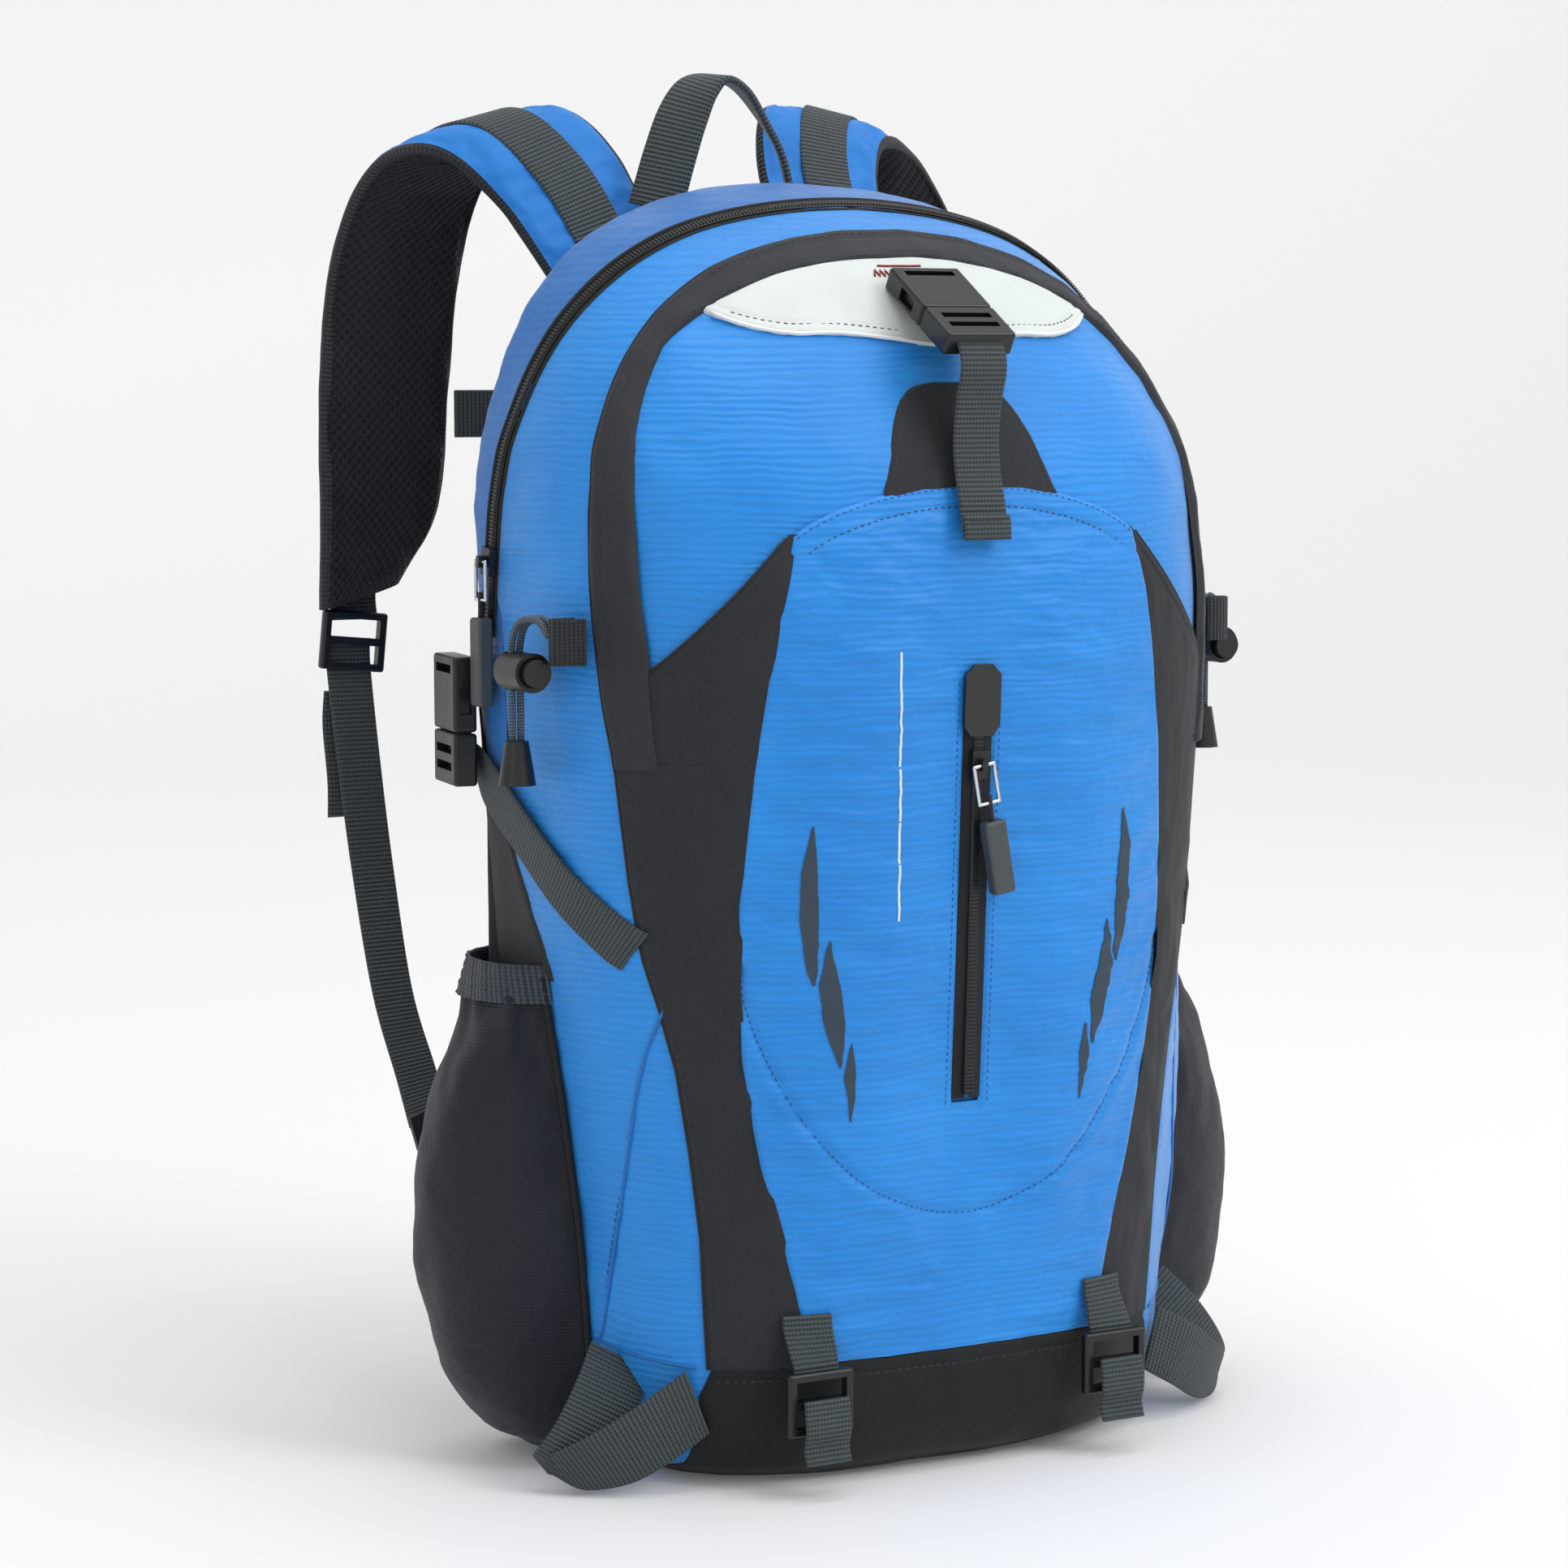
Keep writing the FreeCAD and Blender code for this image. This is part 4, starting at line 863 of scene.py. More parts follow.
def pocket_cloth():
    """Front pocket with its top band, seams and the opening for the zip."""
    zs = np.concatenate([np.linspace(50, 372, 215, endpoint=False), np.linspace(372, 391.3, 26)])
    points = np.empty((len(zs), 181, 3))
    across = np.linspace(-1, 1, 181)
    for i, z in enumerate(zs):
        points[i] = front_frame(across * pocket_half(z), np.full(181, z))[0]
    base, n = front_frame(points[..., 0], points[..., 2])
    final = base + n * pocket_height(base[..., 0], base[..., 2], base)[..., None]
    obj = grid_object("pocket_cloth", final, "blue", np.stack([base[..., 0], base[..., 2]], -1))
    mesh = obj.data
    bm = bmesh.new()
    bm.from_mesh(mesh)
    gone = [f for f in bm.faces
            if abs(f.calc_center_median().x) < 0.0056 and 0.1495 < f.calc_center_median().z < 0.3135]
    bmesh.ops.delete(bm, geom=gone, context="FACES")
    bm.to_mesh(mesh)
    bm.free()
    fold_blend(obj)
    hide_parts("front_pocket", "pocket_top_band")
    return obj


def on_pocket(x, z, lift=0.0):
    """Points and normals on the finished pocket cloth."""
    base, n = front_frame(np.asarray(x, float), np.asarray(z, float))
    return base + n * (pocket_height(base[..., 0], base[..., 2], base) + lift)[..., None], n


def pocket_print(name, outline, look, lift=0.4):
    """A flat printed shape on the pocket: outline of (x, z) left edge and right edge pairs by height."""
    rows, cols = 40, 7
    zs = [z for z, _, _ in outline]
    grid = np.empty((rows, cols, 2))
    for i, z in enumerate(np.linspace(zs[0], zs[-1], rows)):
        left = np.interp(z, zs, [l for _, l, _ in outline])
        right = np.interp(z, zs, [r for _, _, r in outline])
        grid[i, :, 0] = np.linspace(left, right, cols)
        grid[i, :, 1] = z
    points, n = on_pocket(grid[..., 0], grid[..., 1], lift)
    return grid_object(name, points, look)


pocket_cloth()

# lens shaped prints: heights with left and right edges on the left side; the right side is the mirror image
LENSES = [
    [(200.5, -68.6, -67.8), (206, -71.2, -67.2), (226, -74.2, -67.0), (246, -74.2, -68.4),
     (262, -70.4, -69.6)],
    [(168, -57.6, -56.8), (178, -61.5, -55.8), (186, -64.2, -55.9), (200, -66.4, -58.2), (211, -64.6, -61.2),
     (218, -63.0, -62.4)],
    [(146, -52.4, -51.8), (156, -53.8, -51.0), (164, -55.6, -50.8), (170, -54.8, -51.6), (177, -53.2, -52.6)],
]
prints = []
for k, lens in enumerate(LENSES):
    prints.append(pocket_print("print_l%d" % k, lens, "print"))
    prints.append(pocket_print("print_r%d" % k, [(z, -r, -l) for z, l, r in lens], "print"))
prints = merge("prints", prints)
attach(prints, "bag")
rule = pocket_print("print_rule", [(224, -35.3, -34.3), (328, -37.2, -36.2)], "print_white", 0.14)
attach(rule, "bag")


def row_on_front(name, line, look, height, body=None, **options):
    """Stitches along an (x, z) line on the front, at a height function."""
    line = np.array(line, float)
    if body == "pocket":
        points, n = on_pocket(line[:, 0], line[:, 1])
    else:
        base, n = front_frame(line[:, 0], line[:, 1])
        points = base + n * height
    return stitches(name, points, n, look, **options)


def inset(line, amount):
    """An (x, z) line moved sideways to its right."""
    line = np.array(line, float)
    way = np.gradient(line, axis=0)
    way /= np.linalg.norm(way, axis=1, keepdims=True)
    return line + np.stack([way[:, 1], -way[:, 0]], -1) * amount


top_fine = catmull(POCKET_TOP, 8)
rows = [row_on_front("s1", inset(top_fine, 9.0), "thread", 0, "pocket", pitch=3.0, length=2.0, width=0.45,
                     lift=0.18),
        row_on_front("s2", inset(top_fine, 2.2), "thread_blue", 0, "pocket", pitch=3.0, length=2.0, width=0.4,
                     lift=0.15),
        row_on_front("s3", U_SEAM, "thread_blue", 0, "pocket", pitch=2.8, length=2.0, width=0.45, lift=0.3)]
for side in (-1, 1):
    rows.append(row_on_front("s4", [(side * 9.4, z) for z in np.linspace(148, 316, 80)], "thread_blue", 0,
                             "pocket",
                             pitch=2.8, length=1.9, width=0.4, lift=0.18))
pocket_stitching = merge("pocket_stitching", rows)
fold_blend(pocket_stitching)


# ============================== dark panels
def dark_panel(side):
    """Charcoal panel between the pocket and the side gusset, with its pointed top."""
    zs = np.linspace(48.5, 373.0, 190)
    rows = []
    for z in zs:
        inner = pocket_half(z) - 2.0
        if z < 286:
            outer_angle = angle_of_y(panel_edge(z), z)
        elif z < 321:
            outer_angle = angle_of_y(band_front(z) + 3.0, z)
        else:
            slope = (z - 321) / (373.0 - 321)
            outer_angle = angle_of_x(125.5 + (77.5 - 125.5) * slope, z)
        start = angle_of_x(inner, z)
        rows.append(ring_run(z, start, max(outer_angle, start + 1e-3), 70))
    points = np.array(rows)
    n = -grid_normals(points)
    n[-1] = n[-2]
    n *= np.sign(np.sum(n * np.array([0, -1, 0]), -1, keepdims=True))
    u, _ = grid_lengths(points)
    from_outer = u[:, -1:] - u
    slant = np.abs((points[..., 2] - 321) - (125.5 - points[..., 0]) * (52.0 / 48.0)) * 0.68
    edge = np.where(points[..., 2] > 318, np.minimum(from_outer, slant), from_outer)
    height = rolled(edge, 1.0, 2.2, 0.5)
    z = points[..., 2]
    height = height + 1.1 * fbm(points * (1.8, 1.2, 0.8), 45.0, 50 + side, 4) * smooth(edge, 0, 9)
    cross = np.sin(z / 7.5 + 2.5 * fbm(points, 40.0, 61 + side, 2) + u / 16.0)
    height = height + 1.0 * cross * np.exp(-((z - 205) / 45) ** 2) * smooth(from_outer, 1, 10)
    height = height + 0.9 * cross * np.exp(-((z - 110) / 60) ** 2) * smooth(from_outer, 1, 10)
    height = height - 0.35 * np.exp(-((slant - 4.0) / 0.9) ** 2) * (z > 318)
    final = points + n * height[..., None]
    if side < 0:
        final = final * (-1, 1, 1)
    obj = grid_object("dark_panel_" + ("left" if side < 0 else "right"), final, "charcoal",
                      np.stack([u, points[..., 2]], -1), flip=side > 0)
    flags = n * ((-1, 1, 1) if side < 0 else (1, 1, 1))
    return obj, final, flags, u


for side in (-1, 1):
    panel, shape, n, u = dark_panel(side)
    lines = []
    keep = (shape[:, 0, 2] > 52) & (shape[:, 0, 2] < 284)
    lines.append(stitches("p1", shape[keep, -6], n[keep, -6], "thread", pitch=3.2, length=2.1, width=0.4,
                          lift=0.15))
    piping = tube("p2", shape[::2, -1] + n[::2, -1] * 0.5, 0.7, "charcoal", 6)
    whole = merge("panel_seams_" + ("left" if side < 0 else "right"), lines + [piping])
    fold_blend(whole)
    fold_blend(panel)
    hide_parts("side_panels")


# ============================== storm flap
def arch_strip(name, y_low, y_high, low, columns, look, height, step=2.4, low_right=None, solid=0.0):
    """A strip over the top of the bag between two depth lines; height(u, width, v, points) lifts it."""
    stations = arch_samples(low, step, low_right)
    points = np.empty((len(stations), columns, 3))
    for k, t in enumerate(np.linspace(0, 1, columns)):
        def line(z, t=t):
            return y_low(z) * (1 - t) + y_high(z) * t
        for i, (angle, where) in enumerate(stations):
            if angle is None:
                z, side = where
                y = line(z)
                points[i, k] = (side * side_x(np.array(y), np.array(z)), y, z)
            else:
                points[i, k] = on_arch(line, angle, None)
    n = grid_normals(points)
    centre = points - np.array([0, 30, 300])
    n *= np.sign(np.sum(n * centre, -1, keepdims=True))
    u, _ = grid_lengths(points)
    v = np.concatenate([[0], np.cumsum(np.linalg.norm(np.diff(points[:, columns // 2], axis=0), axis=-1))])
    v = np.repeat(v[:, None], columns, 1)
    final = points + n * height(u, u[:, -1:], v, points)[..., None]
    obj = grid_object(name, final, look, np.stack([u, v], -1), solid=solid)
    return obj, final, n


def flap_height(u, width, v, points):
    """The flap: rolled edges, a stitched line near the rear edge and gathers along it."""
    edge = np.minimum(u, width - u)
    ends = np.minimum(v, v[-1:, :] - v)
    h = rolled(np.minimum(edge, ends), 2.6, 2.6, 0.3)
    h = h - 0.5 * np.exp(-((width - u - 6.5) / 1.1) ** 2) - 0.4 * np.exp(-((u - 2.6) / 1.0) ** 2)
    gather = np.sin(v / 4.2 + 2.4 * fbm(points, 34.0, 71, 2))
    h = h + 0.45 * gather * np.exp(-edge / 7.0) * smooth(edge, 0, 2.5)
    return h + 0.8 * fbm(points, 30.0, 75, 4) * smooth(edge, 0, 6)


flap, flap_points, flap_n = arch_strip("flap_cloth", band_front, band_rear, 282.0, 17, "flap", flap_height,
                                       2.2)
fold_blend(flap)
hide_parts("storm_flap", "storm_flap_ends")
flap_rows = [stitches("f1", flap_points[2:-2, 13], flap_n[2:-2, 13], "thread", pitch=3.4, length=2.3,
                      width=0.45, lift=0.2),
             stitches("f2", flap_points[2:-2, 2], flap_n[2:-2, 2], "thread", pitch=3.4, length=2.3,
                      width=0.45, lift=0.2),
             tube("f3", flap_points[:, -1] + flap_n[:, -1] * 0.6, 0.9, "tape", 6)]
fold_blend(merge("flap_seams", flap_rows))

# ============================== main zip
def zip_offset(amount):
    return lambda z: zip_line(z) + amount


def tape_height(u, width, v, points):
    return 0.55 + 0.0 * u


def coil_height(u, width, v, points):
    return 1.2 + 0.9 * np.sqrt(np.clip(1 - ((u / width) * 2 - 1) ** 2, 0, 1))


tape, tape_points, tape_n = arch_strip("main_zip_tape", zip_offset(-1.6), zip_offset(7.6), 344.0, 7, "tape",
                                       tape_height, 3.0)
coil, coil_points, coil_n = arch_strip("main_zip_coil", zip_offset(0.6), zip_offset(4.8), 344.0, 9, "zip",
                                       coil_height, 2.0)


def teeth(name, points, n, half, pitch, thick, look="zip"):
    """Coil of a zip as small ridges across a centre line."""
    points = [Vector(p) for p in points]
    n = [Vector(q) for q in n]
    run = [0.0]
    for a, b in zip(points, points[1:]):
        run.append(run[-1] + (b - a).length)
    verts, faces, uvs = [], [], []
    s, i = pitch, 0
    while s < run[-1] - pitch:
        while run[i + 1] < s:
            i += 1
        t = (s - run[i]) / max(run[i + 1] - run[i], 1e-9)
        p, m = points[i].lerp(points[i + 1], t), n[i].lerp(n[i + 1], t).normalized()
        way = (points[i + 1] - points[i]).normalized()
        across = m.cross(way).normalized()
        base = len(verts)
        for c, out in ((-1.0, 0.0), (-0.72, thick), (0.72, thick), (1.0, 0.0)):
            for w in (-0.32, 0.32):
                verts.append(p + across * c * half + way * w * pitch + m * out)
                uvs.append((c * half, s))
        for k in (0, 2, 4):
            faces.append((base + k, base + k + 1, base + k + 3, base + k + 2))
        s += pitch
    return finish_mesh(name, verts, faces, uvs, look, smooth=False)


main_teeth = teeth("main_zip_teeth", coil_points[:, 4], coil_n[:, 4], 2.0, 1.5, 0.45)
piping, piping_points, piping_n = arch_strip("main_zip_piping_base", zip_offset(6.6), zip_offset(7.6), 338.0,
                                             2, "tape",
                                             lambda u, w, v, p: 0.9 + 0 * u, 3.0)
cord_line = tube("main_zip_piping", piping_points.mean(axis=1) + piping_n.mean(axis=1) * 0.5, 1.15, "tape", 8)
main_zip = merge("main_zip_look", [tape, coil, main_teeth, piping, cord_line])
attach(main_zip, "bag")
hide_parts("main_zip")

# ============================== hood pieces
PATCH_LOW = [(-97, 463), (-88, 457.5), (-76, 451), (-60, 447.5), (-40, 447.5), (-20, 445.5), (0, 443.5),
             (20, 445.5),
             (40, 447.5), (60, 447.5), (76, 451), (88, 457.5), (97, 463)]
PATCH_LINE = catmull(PATCH_LOW, 6)


def patch_bounds(x):
    """Lowest height of the patch and the height where it meets the flap, at x."""
    low = float(np.interp(x, PATCH_LINE[:, 0], PATCH_LINE[:, 1]))
    z = 481.0
    while z > low + 0.5 and front_y(np.array(x), np.array(z)) > band_front(z) + 2.0:
        z -= 0.25
    return low, max(z, low + 0.6)


patch_x = np.linspace(-91, 91, 120)
patch_grid = np.empty((22, len(patch_x), 2))
for k, x in enumerate(patch_x):
    low, high = patch_bounds(x)
    patch_grid[:, k, 0] = x
    patch_grid[:, k, 1] = np.linspace(low, high, 22)


def patch_height(x, z, points):
    """Leatherette patch with a rounded, stitched rim."""
    edge = outline_distance(x, z, [tuple(p) for p in PATCH_LINE[::3]])
    h = rolled(edge, 1.7, 2.0, 0.1)
    h = h - 0.5 * np.exp(-((edge - 4.2) / 0.8) ** 2)
    return h + 0.35 * fbm(points, 30.0, 81, 3) * smooth(edge, 2, 10)


base, n = front_frame(patch_grid[..., 0], patch_grid[..., 1])
patch = grid_object("patch", base + n * patch_height(base[..., 0], base[..., 2], base)[..., None], "leather",
                    np.stack([base[..., 0], base[..., 2]], -1))
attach(patch, "hood")
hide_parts("top_patch")


def on_patch(x, z, lift=0.0):
    base, n = front_frame(np.asarray(x, float), np.asarray(z, float))
    return base + n * (patch_height(base[..., 0], base[..., 2], base) + lift)[..., None], n


rim_line = PATCH_LINE + (0, 4.3)
keep = np.abs(rim_line[:, 0]) < 80
p, q = on_patch(rim_line[keep, 0], rim_line[keep, 1])
patch_rows = [stitches("r1", p, q, "thread", pitch=3.0, length=2.2, width=0.5, lift=0.2)]
rim_edge = PATCH_LINE[np.abs(PATCH_LINE[:, 0]) < 85]
p, q = on_patch(rim_edge[:, 0], rim_edge[:, 1] + 0.6)
patch_rows.append(tube("r2", p + q * 0.4, 0.9, "rim", 6))
for row in range(3):
    xs = np.linspace(-13, 13, 24)
    zs = 474.0 - 3.0 * row + 0.0 * xs
    zig = np.where(np.arange(24) % 2, 1.2, -1.2)
    p, q = on_patch(xs - 4.0, zs + zig, 0.35)
    if row == 1:
        patch_rows.append(tube("r3", p, 0.5, "thread_red", 5))
    elif row == 0:
        p, q = on_patch(xs[3:-3] - 4.0, zs[3:-3], 0.3)
        patch_rows.append(tube("r4", p, 0.45, "thread_red", 5))
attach(merge("patch_seams", patch_rows), "hood")

TAB_EDGE = [(-38.5, 389.0), (-34.5, 401), (-29.5, 414), (-24, 423), (-18.5, 427.6), (-10, 429.6), (0, 430),
            (10, 429.6),
            (18.5, 427.6), (24, 423), (29.5, 414), (34.5, 401), (38.5, 389.0)]
TAB_LINE = catmull(TAB_EDGE, 6)
tab_half = pieces_of([(388, 38.7), (401, 34.5), (414, 29.5), (420, 26.2), (423, 24), (426, 20.5),
                      (427.6, 18.5), (429, 14),
                      (429.6, 10), (430, 6)])
tab_z = np.concatenate([np.linspace(386, 420, 24, endpoint=False), np.linspace(420, 430, 14)])
tab_grid = np.stack([np.outer([tab_half(z) for z in tab_z], np.linspace(-1, 1, 50)),
                     np.repeat(tab_z[:, None], 50, 1)], -1)


def tab_height(x, z, points):
    edge = outline_distance(x, z, [tuple(p) for p in TAB_LINE[::2]])
    return rolled(edge, 1.3, 1.8,
                  0.2) - 0.35 * np.exp(-((edge - 3.0) / 0.8) ** 2) + 0.3 * fbm(points, 20.0, 91, 3)


base, n = front_frame(tab_grid[..., 0], tab_grid[..., 1])
tab = grid_object("tab_cloth", base + n * tab_height(base[..., 0], base[..., 2], base)[..., None], "charcoal",
                  np.stack([base[..., 0], base[..., 2]], -1))
tab_rows = []
inner = inset(TAB_LINE, 3.0)[4:-4]
base, n = front_frame(inner[:, 0], inner[:, 1])
tab_rows.append(stitches("t1", base + n * tab_height(base[:, 0], base[:, 2], base)[:, None], n, "thread",
                         pitch=3.0,
                         length=2.1, width=0.4, lift=0.15))
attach(tab, "hood")
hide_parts("strap_tab")
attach(merge("tab_seams", tab_rows), "hood")

# ============================== base panel
def base_cloth():
    """Near-black band along the low front, running under the bag."""
    zs = np.concatenate([np.linspace(1.8, 20, 9, endpoint=False), np.linspace(20, 50, 16)])
    half = pieces_of([(0, 104), (38, 104), (50, 100)])
    rows = []
    for z in zs:
        a = angle_of_x(half(z), z)
        rows.append(ring_run(z, -math.pi - a, a, 140))
    points = np.array(rows)
    n = grid_normals(points)
    n *= np.sign(np.sum(n * (points - np.array([0, 0, 30])), -1, keepdims=True))
    e = edge_distance(points)
    top = 50 - points[..., 2]
    h = 1.4 + 0.7 * fbm(points, 36.0, 101, 3) - 0.5 * np.exp(-((top - 3.5) / 0.9) ** 2)
    h = h - 1.0 * (1 - smooth(top, 0, 2.0)) - 1.0 * (1 - smooth(edge_distance(points, rows=False), 0, 2.0))
    final = points + n * h[..., None]
    u, _ = grid_lengths(points)
    obj = grid_object("base_cloth", final, "base", np.stack([u, points[..., 2]], -1))
    # underside sheet
    flat = np.stack([ring_run(1.8, -math.pi + 0.02, -0.02, 60)] * 2)
    flat[1, :, 1] = 50.0
    flat[..., 2] = 1.0
    sole = grid_object("sole", flat, "base")
    row = final[-4]
    seam = stitches("b1", row[2:-2], n[-4][2:-2], "thread", pitch=3.4, length=2.3, width=0.45, lift=0.15)
    whole = merge("base_cloth", [obj, sole, seam])
    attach(whole, "bag")
    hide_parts("base_panel")


base_cloth()

# ============================== side details


def side_panel(side):
    """Charcoal wedge high on the rear of each side, behind the compression strap."""
    zs = np.linspace(196, 318, 60)
    left = pieces_of([(196, -8), (213, -1), (243, 16), (275, 35), (318, 50)])
    grid_y = np.array([np.linspace(left(z), 58, 26) for z in zs])
    base, n = side_frame(side, grid_y, np.repeat(zs[:, None], 26, 1))
    e = edge_distance(base)
    h = rolled(e, 1.1, 2.0, 0.4) + 0.6 * fbm(base, 30.0, 111 + side, 3) * smooth(e, 0, 6)
    return grid_object("wedge", base + n * h[..., None], "charcoal", np.stack([grid_y, base[..., 2]], -1),
                       flip=side > 0)


def side_seams(side):
    """Seam of the lower gusset and the corner patch at the foot of each side."""
    line = catmull([(-62, 192), (-52, 165), (-42, 120), (-33, 85), (-26, 60), (-17, 48)], 8)
    parts = []
    for k, pts in enumerate((line, catmull([(-14, 56), (-28, 53.5), (-44, 51.5), (-62, 49)], 8))):
        base, n = side_frame(side, pts[:, 0], pts[:, 1])
        base = base + n * fullness(base)[:, None]
        # The gusset seam piping uses the same darker nylon: painted shade.
        parts.append(tube("g%d" % k, base + n * 0.2, 0.8, "blue_painted_shade", 6))
        parts.append(stitches("h%d" % k, base + n * 0.6 + np.array([0, 2.2, 0]), n, "thread_blue", pitch=3.2,
                              length=2.2,
                              width=0.4, lift=0.1))
    return parts


dark = []
for side in (-1, 1):
    dark.append(side_panel(side))
    dark += side_seams(side)
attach(merge("side_details", dark), "bag")

# compression straps
def side_strap(side):
    """Webbing from the panel seam up and back to the side buckle."""
    stations = []
    for y, z in [(-54, 213), (-46, 218), (-23, 234), (5, 255), (28, 270), (44, 279), (50, 284)]:
        base, n = side_frame(side, np.array([y, y + 1.0]), np.array([z, z + 0.74]))
        way = np.array([0, 0.8, 0.6]) + 0 * base[0]
        across = np.cross(n[0], way)
        lift = 1.2 + 2.2 * max(0.0, min(1.0, (y + 46) / 60))
        stations.append((base[0] + n[0] * lift, across, n[0]))
    top = np.array([side * 155.0, 47.0, 287.0])
    stations = stations[:-1] + [(np.array([side * 152.5, 46.5, 281.0]), stations[-1][1],
                                 np.array([side, 0, 0.0]))]
    band = strap("band", stations, 20.0, 1.6, "webbing", 8)
    loop_stations = [(np.array([side * 153.5, 47, z]), np.array([0, 1, 0.0]), np.array([side, 0, 0.0]))
                     for z in (276, 282, 290, 296)]
    up = strap("loop", loop_stations, 20.0, 1.6, "webbing", 4)
    return merge("compression_" + ("left" if side < 0 else "right"), [band, up])


for side, name in ((-1, "left"), (1, "right")):
    obj = side_strap(side)
    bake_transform(obj)
    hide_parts("compression_straps")

# ============================== mesh pockets
POUCH = [(6, 140, 22, 34), (14, 156, 22, 38), (40, 174, 22, 41), (90, 183, 22, 42), (140, 176, 24, 40),
         (180, 162.5, 26, 38),
         (203, 155, 27, 37)]


def pouch_rows(side, zs, grow, count=90):
    """Rows of the pouch's outline from its front edge round to the rear, laid on the bag where it is sewn."""
    table = catmull(POUCH, 12)
    rows = []
    for z in zs:
        out_x, mid, reach = [float(np.interp(z, table[:, 0], table[:, k])) for k in (1, 2, 3)]
        belly = (side > 0) * float(smooth(z, 5, 45) * (1 - smooth(z, 140, 200)))
        out_x, mid = out_x + 9.0 * belly, mid - 6.0 * belly
        a = np.linspace(-math.pi / 2, math.pi / 2, 400)
        c, s = np.cos(a), np.sin(a)
        x = 100 + (out_x - 100 + grow) * np.abs(c) ** 0.85
        y = mid + (reach + grow) * np.sign(s) * np.abs(s) ** 0.85
        wall = side_x(y, np.full_like(y, z)) + 0.5
        if side > 0:
            wall = wall + fullness(np.stack([wall, y, np.full_like(y, z)], -1))
        x = np.maximum(x, wall)
        keep = (x > wall + 0.01)
        first, last = np.argmax(keep), len(keep) - 1 - np.argmax(keep[::-1])
        first, last = max(first - 3, 0), min(last + 3, len(keep) - 1)
        x, y = x[first:last + 1], y[first:last + 1]
        run = np.concatenate([[0], np.cumsum(np.hypot(np.diff(x), np.diff(y)))])
        at = np.linspace(0, run[-1], count)
        rows.append(np.stack([side * np.interp(at, run, x), np.interp(at, run, y), np.full(count, z)], -1))
    return np.array(rows)


def mesh_pocket(side):
    """Stretch-mesh bottle pocket, gathered under its elastic hem."""
    zs = np.concatenate([np.linspace(5, 20, 8, endpoint=False), np.linspace(20, 197, 110)])
    points = pouch_rows(side, zs, 0.0)
    n = grid_normals(points)
    n *= np.sign(np.sum(n * (points - np.array([side * 100, 22, 110])), -1, keepdims=True))
    u, _ = grid_lengths(points)
    e = edge_distance(points, rows=False)
    z = points[..., 2]
    gather = np.sin(u / 2.6 + 3.0 * fbm(points, 30.0, 121 + side, 2))
    h = 1.1 * gather * np.exp(-(197 - z) / 30.0)
    folds = np.sin((u * 0.8 + (z - 100) * 0.55) / 9.0 + 3.4 * fbm(points, 60.0, 131 + side, 2))
    h = h + 1.6 * folds * np.exp(-((z - 150) / 50) ** 2) + 0.9 * folds * np.exp(-((z - 45) / 40) ** 2)
    h = h + 1.5 * fbm(points, 46.0, 141 + side, 4)
    h = h * smooth(e, 0, 10)
    final = points + n * h[..., None]
    body = grid_object("net", final, "pocket_mesh", np.stack([u, z], -1), flip=side > 0)
    trim = tube("trim1", final[2:, 1] + n[2:, 1] * 0.8, 1.3, "tape", 8)
    trim2 = tube("trim2", final[2:, -2] + n[2:, -2] * 0.8, 1.3, "tape", 8)
    return merge("mesh_pocket_" + ("left" if side < 0 else "right"), [body, trim, trim2])


def pocket_hem(side):
    """Ribbed elastic hem around the pocket's mouth."""
    zs = np.linspace(187, 202, 12)
    outer = pouch_rows(side, zs, 1.5)
    inner = pouch_rows(side, zs[::-1], 0.2)
    points = np.concatenate([outer, inner])
    n = grid_normals(outer)
    n *= np.sign(np.sum(n * (outer - np.array([side * 100, 22, 195])), -1, keepdims=True))
    u, _ = grid_lengths(outer)
    ribs = np.cos((outer[..., 2] - 187) * 2 * math.pi / 3.8)
    outer = outer + n * (0.35 * ribs + 0.3 * np.sin(u / 1.5))[..., None]
    points[:12] = outer
    uv = np.concatenate([np.stack([outer[..., 2], u], -1), np.stack([inner[..., 2], u], -1)])
    return grid_object("pocket_hem_" + ("left" if side < 0 else "right"), points, "hem", uv, flip=side > 0)


for side in (-1, 1):
    net = mesh_pocket(side)
    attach(net, "bag")
    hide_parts("mesh_pocket_left" if side < 0 else "mesh_pocket_right")
    hem = pocket_hem(side)
    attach(hem, "bag")
    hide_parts("pocket_hems")

# ============================== front zip
zs = np.linspace(150.5, 314, 84)
tape_rows = []
for side in (-1, 1):
    grid_x = np.outer(np.ones(len(zs)), np.linspace(side * 1.0, side * 7.2, 5))
    base, n = front_frame(grid_x, np.repeat(zs[:, None], 5, 1))
    lift = np.array([1.5, 1.5, 1.2, 0.8, 0.5])
    tape_rows.append(grid_object("zt", base + n * lift[:, None], "tape", np.stack([grid_x, base[..., 2]], -1),
                                 flip=side < 0))
base, n = front_frame(np.zeros(len(zs)), zs)
slope = math.radians(3.18)
coil_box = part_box("front_zip_coil")
low, high = np.array(coil_box[0]) * 1000, np.array(coil_box[1]) * 1000
coil_line = np.stack([np.zeros(80), np.linspace(high[1] - 1.2, low[1] + 1.2, 80),
                      np.linspace(low[2] + 0.5, high[2] - 0.5, 80)], -1)
coil_n = np.repeat([[0, -math.cos(slope), -math.sin(slope)]], 80, 0)
coil_bed = strap("zc", [(c, (1, 0, 0), nn) for c, nn in zip(coil_line[::8], coil_n[::8])], 4.6, 2.0, "zip", 3)
coil_teeth = teeth("zteeth", coil_line + coil_n * 0.9, coil_n, 2.3, 1.5, 0.5)
front_tape = merge("front_zip_tape_look", tape_rows)
front_coil = merge("front_zip_coil_look", [coil_bed, coil_teeth])
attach(front_tape, "bag")
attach(front_coil, "bag")
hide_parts("front_zip_tape")
